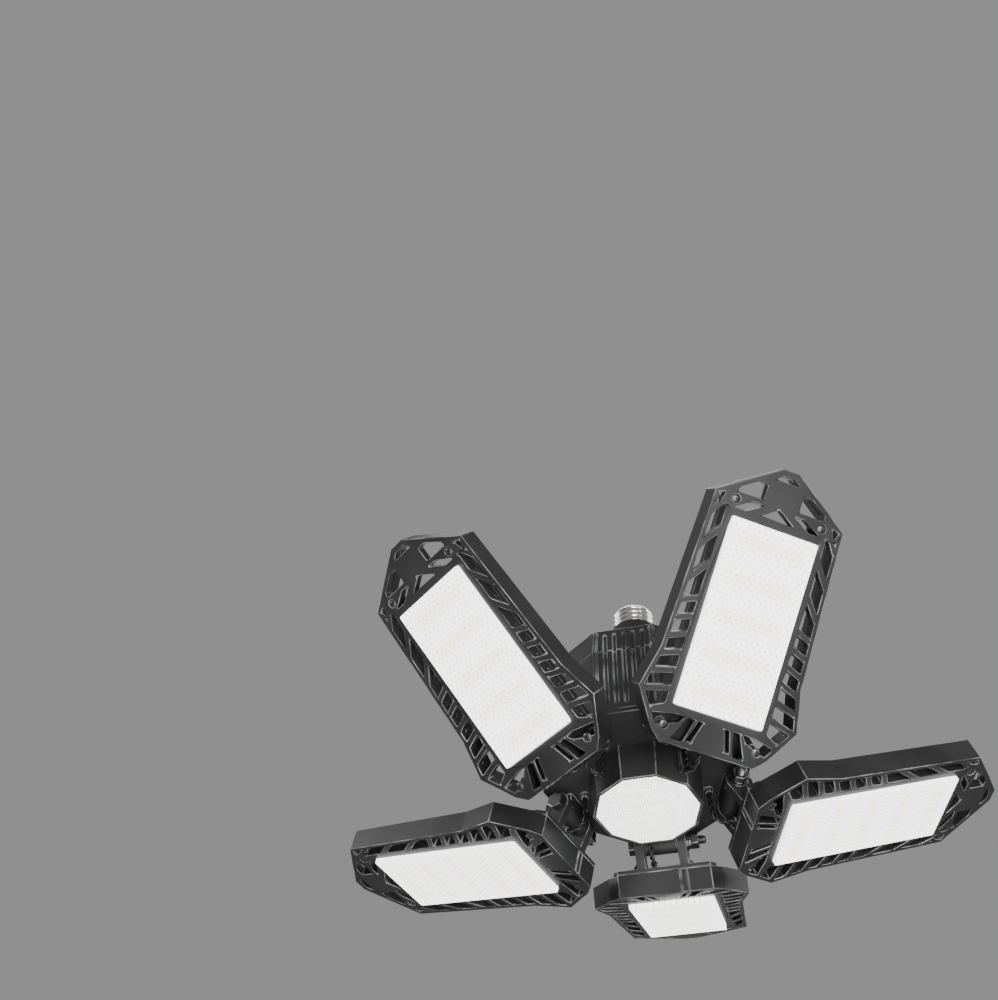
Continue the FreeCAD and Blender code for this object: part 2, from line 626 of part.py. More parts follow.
def make_centre_cup():
    """The ten-sided cup under the hub plate, open below, with a pair of small ridges on one face."""
    thin = CUP_WALL / cos(pi / FACE_COUNT)
    cup = frustum(CUP_BOTTOM_RADIUS, CUP_BOTTOM_Z, CUP_TOP_RADIUS, PLATE_Z)
    hollow = frustum(CUP_BOTTOM_RADIUS - thin, CUP_BOTTOM_Z, CUP_TOP_RADIUS - thin, PLATE_Z)
    shelf_low = CUP_BOTTOM_Z + CENTRE_BOARD_SETBACK
    shelf = frustum(
        cup_corner(CENTRE_BOARD_SETBACK), shelf_low,
        cup_corner(CENTRE_BOARD_SETBACK + CUP_WALL), shelf_low + CUP_WALL,
    )
    cup = cup.cut(hollow).fuse(shelf)
    ridge_top = PLATE_Z - CUP_RIDGE_DROP
    span = CUP_RIDGE_SPACING / 2
    for side in (-span, span):
        apothem = CUP_BOTTOM_RADIUS * cos(pi / FACE_COUNT)
        ridge = box(
            (apothem - CUP_WALL / 2, apothem + CUP_TOP_RADIUS - CUP_BOTTOM_RADIUS + CUP_RIDGE_HEIGHT),
            (CUP_RIDGE_SIDE + side - CUP_RIDGE_WIDTH / 2, CUP_RIDGE_SIDE + side + CUP_RIDGE_WIDTH / 2),
            (ridge_top - CUP_RIDGE_LENGTH, ridge_top),
        )
        cup = cup.fuse(turned(ridge, (CUP_RIDGE_FACE + 0.5) * FACE_AZIMUTH))
    return cup.removeSplitter()


def lens_corner():
    """Corner radius of the lens, which drops into the cup's mouth."""
    return CUP_BOTTOM_RADIUS - (CUP_WALL + FIT) / cos(pi / FACE_COUNT)


def make_centre_lens():
    """The ten-sided lens with a gently domed face and a rim that stands on the light board."""
    radius = lens_corner()
    inner = radius - CUP_WALL / cos(pi / FACE_COUNT)
    rim_top = CUP_BOTTOM_Z + CENTRE_BOARD_SETBACK - CENTRE_BOARD_THICKNESS
    dome = []
    for k in range(LENS_STEPS + 1):
        share = k / LENS_STEPS
        dome.append((radius * share, CUP_BOTTOM_Z - LENS_DOME * (1.0 - share ** 2)))
    back = [(radius, rim_top), (inner, rim_top), (inner, CUP_BOTTOM_Z + LENS_EDGE)]
    return turned_flats(dome + back + [(0.0, CUP_BOTTOM_Z + LENS_EDGE)], FACE_COUNT)


def make_centre_led_board():
    """The small light board on the cup's shelf."""
    top = CUP_BOTTOM_Z + CENTRE_BOARD_SETBACK
    return prism(regular(lens_corner(), FACE_COUNT), top - CENTRE_BOARD_THICKNESS, top)


def make_centre_led_chips():
    """A ring of chips and one in the middle of the centre board."""
    top = CUP_BOTTOM_Z + CENTRE_BOARD_SETBACK - CENTRE_BOARD_THICKNESS
    half = CENTRE_CHIP_SIZE / 2
    chips = [box((-half, half), (-half, half), (top - CENTRE_CHIP_HEIGHT, top))]
    span = (CENTRE_CHIP_RING - half, CENTRE_CHIP_RING + half)
    for k in range(CENTRE_CHIP_COUNT):
        chip = box(span, (-half, half), (top - CENTRE_CHIP_HEIGHT, top))
        chips.append(turned(chip, k * 360.0 / CENTRE_CHIP_COUNT))
    return Part.makeCompound(chips)


# ------------------------------------------------------------------ panel: outline and grille
def outline_half():
    """The panel's outline on its +Y side, from the tip to the inner end."""
    return [
        (WINDOW_END + TIP_REACH, TIP_FLAT / 2),
        (WINDOW_END + SHOULDER_REACH, HALF_WINDOW + SHOULDER_SIDE),
        (WINDOW_START + WAIST_FROM_START, HALF_WINDOW + WAIST_SIDE),
        (WINDOW_START + HIP_FROM_START, HALF_WINDOW + HIP_SIDE),
        (WINDOW_START - CORNER_REACH, HALF_WINDOW + CORNER_SIDE),
        (INNER_X, HALF_WINDOW + INNER_SIDE),
    ]


def side_at(x):
    """Half-width of the outline at a distance from the hinge axis."""
    half = outline_half()
    for outer, inner in zip(half, half[1:]):
        if inner[0] <= x <= outer[0]:
            share = (x - inner[0]) / (outer[0] - inner[0])
            return inner[1] + share * (outer[1] - inner[1])
    return half[-1][1]


def rib_lines():
    """The blades beside the window: each from the border to the rim, slanted ones then steep ones."""
    lines = []
    steep_end = WINDOW_LENGTH + STEEP_RIB_LAST - STEEP_RIB_PITCH * (STEEP_RIB_COUNT - 1)
    room = steep_end - STEEP_RIB_LEAN / 2 - RIB_FIRST
    for k in range(floor(room / RIB_PITCH)):
        lines.append((RIB_FIRST + k * RIB_PITCH, RIB_LEAN))
    for k in range(STEEP_RIB_COUNT):
        lines.append((steep_end + k * STEEP_RIB_PITCH, STEEP_RIB_LEAN))
    return lines


def side_holes():
    """The gaps between the blades on the +Y side."""
    low = FACE_Z - 1.0
    high = FACE_Z + GRILLE_DEPTH + 1.0
    start = WINDOW_START + RIB_FIRST - RIB_WIDTH / 2
    end = WINDOW_END + BORDER
    channel = prism(inset(mirrored_outline(outline_half()), RIM), low, high)
    channel = channel.common(box((start, end), (BORDER_Y, 2 * BORDER_Y + HIP_SIDE), (low, high)))
    blades = []
    for station, lean in rib_lines():
        border_x = WINDOW_START + station
        rim_x = border_x - lean
        rim_y = side_at(rim_x)
        slope = lean / (rim_y - BORDER_Y)
        inner = (border_x + slope * RIM, BORDER_Y - RIM)
        outer = (rim_x - slope * RIM, rim_y + RIM)
        blades.append(bar(inner, outer, RIB_WIDTH, low, high))
    return channel.cut(blades)


def end_holes():
    """The cut-outs beyond the window at the tip and at the inner end, on the +Y side."""
    tip = WINDOW_END + BORDER + HOLE_GAP
    root = WINDOW_START - BORDER - HOLE_GAP
    end = INNER_X + RIM
    half = HALF_WINDOW
    badge_low = WINDOW_END + BADGE_START
    badge_high = WINDOW_END + BADGE_END
    screw_row = WINDOW_END + TIP_SCREW_REACH
    outlines = [
        # the large opening beside the bare badge plate
        [(badge_low, half + 0.5), (badge_low + 2.9, half - 0.5), (badge_high, BADGE_HALF_WIDTH + 4.6),
         (badge_high, BADGE_HALF_WIDTH), (badge_low, BADGE_HALF_WIDTH)],
        # the slanted opening between the window and the badge plate
        [(tip, half), (tip + 5.4, half - 9.3), (tip + 5.4, half - 15.4), (tip, half - 6.4)],
        # the narrow leaf at the shoulder
        [(screw_row - 4.2, half + 7.9), (screw_row + 1.4, half + 6.2), (screw_row + 1.2, half + 9.5)],
        # the corner opening at the inner end, then the two slots beside the hinge
        [(root, half - 2.7), (root, half - 7.9), (root - 3.2, half - 5.6), (end + 3.2, half + 9.5),
         (root - 2.6, half + 10.6)],
        [(root, half - 9.6), (root, half - 13.4), (end, half - 10.0), (end, half - 3.9)],
        [(root, half - 15.2), (root, half - 17.8), (end + 1.2, half - 14.4), (end + 1.2, half - 11.8)],
    ]
    return [prism(points, FACE_Z - 1.0, FACE_Z + GRILLE_DEPTH + 1.0) for points in outlines]


def middle_holes():
    """The two openings on the panel's middle line at the tip."""
    tip = WINDOW_END + BORDER + HOLE_GAP
    badge_high = WINDOW_END + BADGE_END
    leaf_low = badge_high + 3.6
    leaf_high = WINDOW_END + TIP_REACH - RIM - 1.0
    triangle = [(tip, -9.0), (tip, 9.0), (tip + 5.3, 0.8), (tip + 5.3, -0.8)]
    leaf = [(leaf_low, -6.6), (leaf_low, 6.6), (leaf_high, 3.0), (leaf_high, -3.0)]
    return [prism(points, FACE_Z - 1.0, FACE_Z + GRILLE_DEPTH + 1.0) for points in (triangle, leaf)]


def panel_screw_places():
    """(x, y) of the four screws that hold the frame to the heat sink."""
    tip = (WINDOW_END + TIP_SCREW_REACH, HALF_WINDOW + TIP_SCREW_SIDE)
    root = (WINDOW_START - ROOT_SCREW_REACH, ROOT_SCREW_HALF)
    places = []
    for x, y in (tip, root):
        places += [(x, y), (x, -y)]
    return places


def make_panel_frame():
    """The moulded frame: a deep skirt, blades that fan out from the window, and a bare tip plate."""
    outline = mirrored_outline(outline_half())
    inside = prism(inset(outline, RIM), FACE_Z, BACK_Z)
    frame = prism(outline, FACE_Z, BACK_Z).cut(prism(inset(outline, RIM), FACE_Z + GRILLE_DEPTH, BACK_Z))
    border = box(
        (WINDOW_START - BORDER, WINDOW_END + BORDER), (-BORDER_Y, BORDER_Y), (FACE_Z, SINK_Z)
    )
    bosses = [peg(BOSS_RADIUS, FACE_Z, SINK_Z, x=x, y=y) for x, y in panel_screw_places()[:2]]
    bosses += [peg(BOSS_RADIUS, FACE_Z, BACK_Z, x=x, y=y) for x, y in panel_screw_places()[2:]]
    frame = frame.fuse([border] + [boss.common(prism(outline, FACE_Z, BACK_Z)) for boss in bosses])
    openings = [hole.common(inside.fuse(prism(inset(outline, RIM), FACE_Z - 1.0, FACE_Z)))
                for hole in end_holes()]
    openings.append(side_holes())
    openings += [mirror_y(hole) for hole in openings]
    openings += middle_holes()
    window = box(
        (WINDOW_START, WINDOW_END), (-HALF_WINDOW, HALF_WINDOW), (FACE_Z - 1.0, BACK_Z + 1.0)
    )
    frame = frame.cut(openings + [window])
    for x, y in panel_screw_places():
        bore = peg(PANEL_SCREW_RADIUS, FACE_Z, BACK_Z, x, y, SHANK_SIDES)
        recess = peg(PANEL_HEAD_RADIUS + FIT, FACE_Z, FACE_Z + PANEL_HEAD_HEIGHT + FIT, x, y)
        frame = frame.cut([bore, recess])
    ridges = []
    for y in SKIRT_RIDGES:
        span = (y - SKIRT_RIDGE_WIDTH / 2, y + SKIRT_RIDGE_WIDTH / 2)
        ridges.append(box((INNER_X - SKIRT_RIDGE_HEIGHT, INNER_X + RIM / 2), span, (FACE_Z, BACK_Z)))
    return frame.fuse(ridges).removeSplitter()


# ------------------------------------------------------------------ panel: heat sink with the hinge lugs
def side_block(corner_radius, sides, start_y, end_y):
    """A block with regular flats along the hinge axis."""
    corners = [vector(x, start_y, z) for x, z in regular(corner_radius, sides, turn=180.0 / sides)]
    face = Part.Face(Part.makePolygon(corners + corners[:1]))
    return face.extrude(vector(0, end_y - start_y, 0))


def clear_hole(radius, start_y, end_y):
    """A cutter along the hinge axis whose flats just clear a round bolt."""
    sides = 2 * SHANK_SIDES
    return side_block(radius / cos(pi / sides), sides, start_y, end_y)


def lug():
    """One lug on the +Y side: a round eye on a foot that widens low down, with a small side gusset."""
    foot = [
        (-LUG_RADIUS, 0.0),
        (LUG_RADIUS, 0.0),
        (LUG_RADIUS, -LUG_STRAIGHT),
        (LUG_RADIUS + LUG_FOOT, BRIDGE_Z),
        (max(INNER_X, -LUG_RADIUS), BRIDGE_Z),
    ]
    corners = [vector(x, LUG_INNER, z) for x, z in foot]
    face = Part.Face(Part.makePolygon(corners + corners[:1]))
    plate = face.extrude(vector(0, LUG_THICKNESS, 0))
    wedge = [
        vector(0, LUG_OUTER, BRIDGE_Z),
        vector(0, LUG_OUTER + GUSSET_REACH, BRIDGE_Z),
        vector(0, LUG_OUTER, BRIDGE_Z + GUSSET_HEIGHT),
    ]
    gusset = Part.Face(Part.makePolygon(wedge + wedge[:1])).extrude(vector(GUSSET_WIDTH, 0, 0))
    eye = side_block(LUG_RADIUS, 2 * HEAD_SIDES, LUG_INNER, LUG_OUTER)
    bore = clear_hole(BOLT_RADIUS + LUG_PLAY, LUG_INNER, LUG_OUTER)
    return plate.fuse([eye, gusset]).cut(bore)


def cable_clamp():
    """The round clamp on the bridge, between the lugs, that the cable runs into."""
    corners = [vector(INNER_X, CABLE_SIDE + y, CLAMP_Z + z) for y, z in regular(GLAND_RADIUS, HEAD_SIDES)]
    return Part.Face(Part.makePolygon(corners + corners[:1])).extrude(vector(CLAMP_LENGTH, 0, 0))


def make_heat_sink():
    """The casting behind the window: finned plate, ears for the tip screws, bridge and hinge lugs."""
    start = WINDOW_START - BORDER
    end = WINDOW_END + BORDER
    base = box((start, end), (-BORDER_Y, BORDER_Y), (SINK_Z, SINK_Z + SINK_BASE))
    pieces = []
    pitch = (2 * BORDER_Y - SINK_FIN_WIDTH) / (SINK_FIN_COUNT - 1)
    for k in range(SINK_FIN_COUNT):
        y = -BORDER_Y + k * pitch
        pieces.append(box((start, end), (y, y + SINK_FIN_WIDTH), (SINK_Z + SINK_BASE, BACK_Z)))
    for x, y in panel_screw_places()[:2]:
        pieces.append(peg(BOSS_RADIUS, SINK_Z, SINK_Z + SINK_BASE, x=x, y=y))
        side = 1 if y > 0 else -1
        neck = sorted((y, side * (HALF_WINDOW - BOSS_RADIUS)))
        pieces.append(box((end - 1.0, x), neck, (SINK_Z, SINK_Z + SINK_BASE)))
    bridge = [
        (INNER_X, HALF_WINDOW + INNER_SIDE),
        (WINDOW_START - ROOT_SCREW_REACH - BOSS_RADIUS, ROOT_SCREW_HALF + BOSS_RADIUS),
        (WINDOW_START - ROOT_SCREW_REACH + BOSS_RADIUS, ROOT_SCREW_HALF + BOSS_RADIUS),
        (start + SINK_BASE, BRIDGE_HALF_WIDTH),
    ]
    pieces.append(prism(mirrored_outline(bridge), BACK_Z, BRIDGE_Z))
    pieces.append(
        box((start, start + SINK_BASE), (-BRIDGE_HALF_WIDTH, BRIDGE_HALF_WIDTH), (SINK_Z, BRIDGE_Z))
    )
    pieces += [lug(), mirror_y(lug()), cable_clamp()]
    sink = base.fuse(pieces)
    for x, y in panel_screw_places():
        sink = sink.cut(peg(PANEL_SCREW_RADIUS, SINK_Z, BRIDGE_Z, x, y, SHANK_SIDES))
    return sink.removeSplitter()


def make_frame_screws():
    """The four small screws in the face, two beside the badge plate and two at the inner end."""
    screws = []
    seat = FACE_Z + PANEL_HEAD_HEIGHT + FIT
    tops = [SINK_Z + SINK_BASE] * 2 + [BRIDGE_Z] * 2
    for (x, y), top in zip(panel_screw_places(), tops):
        head = peg(PANEL_HEAD_RADIUS, seat - PANEL_HEAD_HEIGHT, seat, x=x, y=y)
        shank = peg(PANEL_SCREW_RADIUS, seat, top, x, y, SHANK_SIDES)
        screws.append(head.fuse(shank).removeSplitter())
    return Part.makeCompound(screws)


# ------------------------------------------------------------------ panel: light
def make_diffuser():
    """The raised window: a shallow tray of clear prismatic plastic, open towards the heat sink."""
    outer_x = (WINDOW_START + FIT, WINDOW_END - FIT)
    outer_y = (-HALF_WINDOW + FIT, HALF_WINDOW - FIT)
    tray = box(outer_x, outer_y, (FACE_Z - DIFFUSER_PROUD, SINK_Z))
    hollow = box(
        (outer_x[0] + DIFFUSER_WALL, outer_x[1] - DIFFUSER_WALL),
        (outer_y[0] + DIFFUSER_WALL, outer_y[1] - DIFFUSER_WALL),
        (FACE_Z - DIFFUSER_PROUD + DIFFUSER_WALL, SINK_Z),
    )
    return tray.cut(hollow)


def make_led_board():
    """The light board on the heat sink, inside the diffuser."""
    margin = FIT + DIFFUSER_WALL + LED_BOARD_MARGIN
    return box(
        (WINDOW_START + margin, WINDOW_END - margin),
        (-HALF_WINDOW + margin, HALF_WINDOW - margin),
        (SINK_Z - LED_BOARD_THICKNESS, SINK_Z),
    )


def make_led_chips():
    """Rows of chips across the board, each under one strip of phosphor."""
    strips = []
    high = SINK_Z - LED_BOARD_THICKNESS
    row_pitch = WINDOW_LENGTH / CHIP_ROWS
    for row in range(CHIP_ROWS):
        x = WINDOW_START + (row + 0.5) * row_pitch
        strips.append(
            box(
                (x - CHIP_WIDTH / 2, x + CHIP_WIDTH / 2),
                (-CHIP_LENGTH / 2, CHIP_LENGTH / 2),
                (high - CHIP_HEIGHT, high),
            )
        )
    return Part.makeCompound(strips)


# ------------------------------------------------------------------ hinge fasteners
def bolt_end_y():
    """Where the bolt's threaded end stops, on the -Y side."""
    return -(LUG_OUTER + WASHER_THICKNESS + SPRING_WASHER_THICKNESS + NUT_HEIGHT + BOLT_END)


def make_hinge_bolt():
    """The cross bolt, with its head on the +Y side."""
    shank = cross_bar(BOLT_RADIUS, bolt_end_y(), LUG_OUTER)
    head = side_block(HEAD_CORNER_RADIUS, 6, LUG_OUTER, LUG_OUTER + HEAD_HEIGHT)
    return shank.fuse(head).removeSplitter()


def make_hinge_nut():
    """The flat washer, spring washer and nut on the bolt's threaded end."""
    washer_end = -LUG_OUTER - WASHER_THICKNESS
    spring_end = washer_end - SPRING_WASHER_THICKNESS
    nut_end = spring_end - NUT_HEIGHT
    rings = [
        side_block(WASHER_RADIUS, 2 * SHANK_SIDES, washer_end, -LUG_OUTER),
        side_block(SPRING_WASHER_RADIUS, 2 * SHANK_SIDES, spring_end, washer_end),
        side_block(HEAD_CORNER_RADIUS, 6, nut_end, spring_end),
    ]
    bore = clear_hole(BOLT_RADIUS, bolt_end_y(), 0.0)
    return Part.makeCompound([ring.cut(bore) for ring in rings])


# ------------------------------------------------------------------ cables
def cable_route(tilt):
    """Corner points of a cable, in the upright plane beside its hinge: from the panel's clamp, round
    under the hinge in equal bends, then straight up to the gland under the hub plate."""
    rise = radians(tilt)
    x = HINGE_RADIUS + INNER_X * cos(rise) - CLAMP_Z * sin(rise)
    z = HINGE_Z + INNER_X * sin(rise) + CLAMP_Z * cos(rise)
    turn = (90.0 + tilt) / CABLE_TURNS
    headings = [radians(180.0 + tilt - turn * k) for k in range(CABLE_TURNS)]
    run = (x - CABLE_HUB_RADIUS) / -sum(cos(heading) for heading in headings)
    points = [(x, z)]
    for heading in headings:
        x += run * cos(heading)
        z += run * sin(heading)
        points.append((x, z))
    points.append((CABLE_HUB_RADIUS, PLATE_Z - HUB_GLAND_HEIGHT))
    return points, turn, run


def make_cable(index):
    """A cable from the hub to a panel, over the hinge, as a tube with tangent arcs."""
    points, turn, run = cable_route(REST_TILTS[index])
    reach = BEND_SHARE * run
    radius = reach / tan(radians(turn / 2))
    rise = radius / cos(radians(turn / 2)) - radius
    spots = [vector(x, CABLE_SIDE, z) for x, z in points]
    edges = []
    start = spots[0]
    for before, corner, after in zip(spots, spots[1:], spots[2:]):
        into = (corner - before).normalize()
        away = (after - corner).normalize()
        bisector = (away - into).normalize()
        arc_start = corner - into * reach
        arc_end = corner + away * reach
        edges.append(Part.LineSegment(start, arc_start).toShape())
        edges.append(Part.Arc(arc_start, corner + bisector * rise, arc_end).toShape())
        start = arc_end
    edges.append(Part.LineSegment(start, spots[-1]).toShape())
    path = Part.Wire(edges)
    heading = (spots[1] - spots[0]).normalize()
    across = heading.cross(vector(0, 1, 0))
    corners = []
    for y, up in regular(CABLE_RADIUS, CABLE_SIDES):
        corners.append(spots[0] + vector(0, y, 0) + across * up)
    section = Part.makePolygon(corners + corners[:1])
    tube = path.makePipeShell([section], True, False)
    print(
        "cable %d: length %.1f mm, bend radius %.1f mm, volume %.4f of section times length"
        % (index + 1, path.Length, radius, tube.Volume / (Part.Face(section).Area * path.Length))
    )
    return turned(tube, FIRST_AZIMUTH + PANEL_AZIMUTH * index)


# ------------------------------------------------------------------ write the nodes
def write(name, shape):
    """One STEP file per node."""
    if not shape.isValid():
        print("not valid:", name)
    shape.exportStep("parts/" + name + ".step")


LAMP_NODES = {
    "screw_shell": make_screw_shell,
    "base_insulator": make_base_insulator,
    "centre_contact": make_centre_contact,
    "neck_collar": make_neck_collar,
    "housing_cap": make_housing_cap,
    "housing_body": make_housing_body,
    "housing_screws": make_housing_screws,
    "driver_board": make_driver_board,
    "driver_parts": make_driver_parts,
    "hub_plate": make_hub_plate,
    "centre_cup": make_centre_cup,
    "centre_led_board": make_centre_led_board,
    "centre_led_chips": make_centre_led_chips,
    "centre_lens": make_centre_lens,
}

PANEL_NODES = {
    "panel_frame": make_panel_frame,
    "heat_sink": make_heat_sink,
    "frame_screws": make_frame_screws,
    "diffuser": make_diffuser,
    "led_board": make_led_board,
    "led_chips": make_led_chips,
    "hinge_bolt": make_hinge_bolt,
    "hinge_nut": make_hinge_nut,
}

os.makedirs("parts", exist_ok=True)
for node, make in LAMP_NODES.items():
    write(node, make())
for node, make in PANEL_NODES.items():
    drawn = make()
    for index in range(PANEL_COUNT):
        write("%s_%d" % (node, index + 1), seat_panel(drawn, index))
for index in range(PANEL_COUNT):
    write("cable_%d" % (index + 1), make_cable(index))
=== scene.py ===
# %% [markdown]
# # A folding garage light
# The light screws into a lampholder by its silver base. A ten-sided black housing holds the driver,
# and five grille-framed light panels tilt on bolted hinges round a small centre lamp.
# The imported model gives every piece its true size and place, so this script only dresses it:
# it gives each piece the rounded edges, threads and finishes that the real one has.

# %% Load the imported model
import json
from math import cos, degrees, pi, radians, sin
import bmesh
import bpy
from mathutils import Matrix, Vector
from mathutils.bvhtree import BVHTree


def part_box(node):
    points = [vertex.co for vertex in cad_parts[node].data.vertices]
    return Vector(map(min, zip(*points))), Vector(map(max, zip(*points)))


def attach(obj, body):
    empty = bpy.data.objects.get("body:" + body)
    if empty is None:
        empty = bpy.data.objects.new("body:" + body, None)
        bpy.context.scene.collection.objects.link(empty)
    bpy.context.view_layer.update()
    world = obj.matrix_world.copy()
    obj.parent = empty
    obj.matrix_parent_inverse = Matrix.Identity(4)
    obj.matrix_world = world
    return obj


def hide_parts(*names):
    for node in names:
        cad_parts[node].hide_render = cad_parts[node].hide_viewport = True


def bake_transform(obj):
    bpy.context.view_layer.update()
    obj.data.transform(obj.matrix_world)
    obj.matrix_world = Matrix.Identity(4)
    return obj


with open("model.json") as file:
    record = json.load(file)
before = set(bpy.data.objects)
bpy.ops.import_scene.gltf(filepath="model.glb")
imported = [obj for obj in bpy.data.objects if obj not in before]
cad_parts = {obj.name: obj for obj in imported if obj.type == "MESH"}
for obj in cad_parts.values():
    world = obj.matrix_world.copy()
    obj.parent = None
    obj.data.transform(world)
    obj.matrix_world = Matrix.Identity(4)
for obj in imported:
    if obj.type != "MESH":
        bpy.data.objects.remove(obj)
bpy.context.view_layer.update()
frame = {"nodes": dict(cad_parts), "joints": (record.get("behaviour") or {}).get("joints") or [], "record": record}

MM = 0.001

# %% [markdown]
# ## Where each panel sits
# A panel is easiest to dress lying flat, with its hinge axis on Y, its length on +X and its light
# shining down. The joints of the model say where each hinge is and how far the panel is tilted,
# so one matrix per panel takes a flat piece to its seat.

# %% Panel seats
PANELS = range(1, 6)


def panel_seat(number):
    """The matrix from the flat panel to its place at rest, and its tilt in degrees."""
    joint = [j for j in frame["joints"] if j["name"] == "panel_%d_tilt" % number][0]
    hinge = Vector(joint["pos_m"])
    tilt = -joint["range_deg"][0]
    azimuth = Vector((hinge.x, hinge.y)).angle_signed(Vector((1.0, 0.0)))
    swing = Matrix.Translation(hinge) @ Matrix.Rotation(azimuth, 4, "Z")
    return swing @ Matrix.Rotation(radians(-tilt), 4, "Y"), tilt


for number in PANELS:
    seat, tilt = panel_seat(number)
    outward = [round(value, 2) for value in seat.to_3x3() @ Vector((1, 0, 0))]
    print("panel %d is tilted %.0f degrees and points" % (number, tilt), outward)

# %% [markdown]
# ## The camera
# The photograph looks up at the light from the front and below. The camera stands at a known
# distance from the centre lens, and is aimed so that the lens lies where it lies in the picture,
# low and right of the middle, instead of shifting the film.

# %% Camera
PICTURE_WIDTH, PICTURE_HEIGHT = 998.0, 1000.0
CAMERA_AZIMUTH = radians(-83.0)
CAMERA_ELEVATION = radians(-38.0)
CAMERA_ROLL = radians(-3.5)
CAMERA_DISTANCE = 0.620
FOCAL_PIXELS = 1148.0
LENS_PIXEL = (648.0, 811.0)
FILM_WIDTH = 36.0
NEAREST_SEEN = 0.01

lens_low, lens_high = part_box("centre_lens")
cup_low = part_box("centre_cup")[0]
lens_centre = Vector((0.0, 0.0, cup_low.z))
away = Vector((
    cos(CAMERA_AZIMUTH) * cos(CAMERA_ELEVATION), sin(CAMERA_AZIMUTH) * cos(CAMERA_ELEVATION),
    sin(CAMERA_ELEVATION),
))
forward = -away
right = forward.cross(Vector((0, 0, 1))).normalized()
down = forward.cross(right)
looking = Matrix((right, down, forward))
ray = Vector((
    (LENS_PIXEL[0] - PICTURE_WIDTH / 2) / FOCAL_PIXELS,
    (LENS_PIXEL[1] - PICTURE_HEIGHT / 2) / FOCAL_PIXELS, 1.0,
)).normalized()
aim = Vector((0, 0, 1)).rotation_difference(ray).to_matrix()
looking = aim @ Matrix.Rotation(CAMERA_ROLL, 3, "Z") @ looking
turn = Matrix((looking[0], -looking[1], -looking[2])).transposed().to_4x4()
lens_data = bpy.data.cameras.new("camera")
lens_data.sensor_fit = "HORIZONTAL"
lens_data.sensor_width = FILM_WIDTH
lens_data.lens = FOCAL_PIXELS / PICTURE_WIDTH * FILM_WIDTH
lens_data.clip_start = NEAREST_SEEN
camera = bpy.data.objects.new("camera", lens_data)
bpy.context.scene.collection.objects.link(camera)
camera.matrix_world = Matrix.Translation(lens_centre + away * CAMERA_DISTANCE) @ turn
bpy.context.scene.camera = camera
print("centre lens: %.1f mm wide" % ((lens_high.x - lens_low.x) / MM))
print("camera stands at", [round(v, 3) for v in camera.matrix_world.translation])

# %% [markdown]
# ## Shader maths as plain expressions
# A material's numbers come from small nodes. Wrapping a socket in a class with operators lets an
# expression such as `1 - dots * 0.2` add its own Math nodes, so the finishes below read as sums.

# %% Sockets that can be added and multiplied
class Wire:
    """A number carried by a socket of a finish."""

    def __init__(self, finish, socket):
        self.finish = finish
        self.socket = socket

    def math(self, operation, *others):
        values = [self] + list(others)
        return self.finish.node("ShaderNodeMath", {"operation": operation}, dict(enumerate(values)))

    def __add__(self, other):
        return self.math("ADD", other)

    __radd__ = __add__

    def __mul__(self, other):
        return self.math("MULTIPLY", other)

    __rmul__ = __mul__

    def __sub__(self, other):
        return self.math("SUBTRACT", other)

    def __rsub__(self, other):
        return (self * -1.0) + other

    def clamp(self, low, high):
        """Zero below low, one above high, and a smooth step between."""
        settings = {"interpolation_type": "SMOOTHSTEP"}
        return self.finish.node("ShaderNodeMapRange", settings, {0: self, 1: low, 2: high})


OWN_FRAME = "own_frame"             # a mesh attribute: each point's place on the flat piece
COLOUR_A, COLOUR_B = 6, 7           # a Mix node's sockets for its two colours
MIXED_COLOUR = 2                    # and its output for the mixed one


class Finish:
    """A material under construction.

    Dressed pieces keep their own frame in an attribute; other pieces lie in it as they are.
    """

    def __init__(self, name, by_attribute=True):
        self.by_attribute = by_attribute
        self.material = bpy.data.materials.new(name)
        self.material.use_nodes = True
        self.tree = self.material.node_tree
        self.shader = self.tree.nodes["Principled BSDF"]
        print("finish:", name)

    def node(self, kind, settings, sockets, output=0):
        """Add a node, set its settings, then its sockets, and give back one output."""
        node = self.tree.nodes.new(kind)
        for name, value in settings.items():
            setattr(node, name, value)
        for key, value in sockets.items():
            self.set(node.inputs[key], value)
        return Wire(self, node.outputs[output])

    def set(self, socket, value):
        if isinstance(value, Wire):
            self.tree.links.new(value.socket, socket)
        else:
            socket.default_value = value

    def place(self):
        """Where a point lies in its piece's own frame, in metres."""
        if self.by_attribute:
            settings = {"attribute_name": OWN_FRAME}
            return self.node("ShaderNodeAttribute", settings, {}, output="Vector")
        return self.node("ShaderNodeTexCoord", {}, {}, output="Object")

    def noise(self, scale, detail=2.0, stretch=(1.0, 1.0, 1.0)):
        spot = self.node("ShaderNodeMapping", {}, {"Vector": self.place(), "Scale": stretch})
        sockets = {"Vector": spot, "Scale": scale, "Detail": detail}
        return self.node("ShaderNodeTexNoise", {}, sockets)

    def mix(self, share, first, second):
        """Blend two colours."""
        sockets = {"Factor": share, COLOUR_A: first, COLOUR_B: second}
        return self.node("ShaderNodeMix", {"data_type": "RGBA"}, sockets, output=MIXED_COLOUR)

    def bump(self, height, depth, strength=1.0):
        sockets = {"Height": height, "Distance": depth, "Strength": strength}
        self.set(self.shader.inputs["Normal"], self.node("ShaderNodeBump", {}, sockets))

    def shade(self, **sockets):
        for name, value in sockets.items():
            self.set(self.shader.inputs[name.replace("_", " ").title()], value)


def grey(level, tint=(1.0, 1.0, 1.0)):
    return (level * tint[0], level * tint[1], level * tint[2], 1.0)
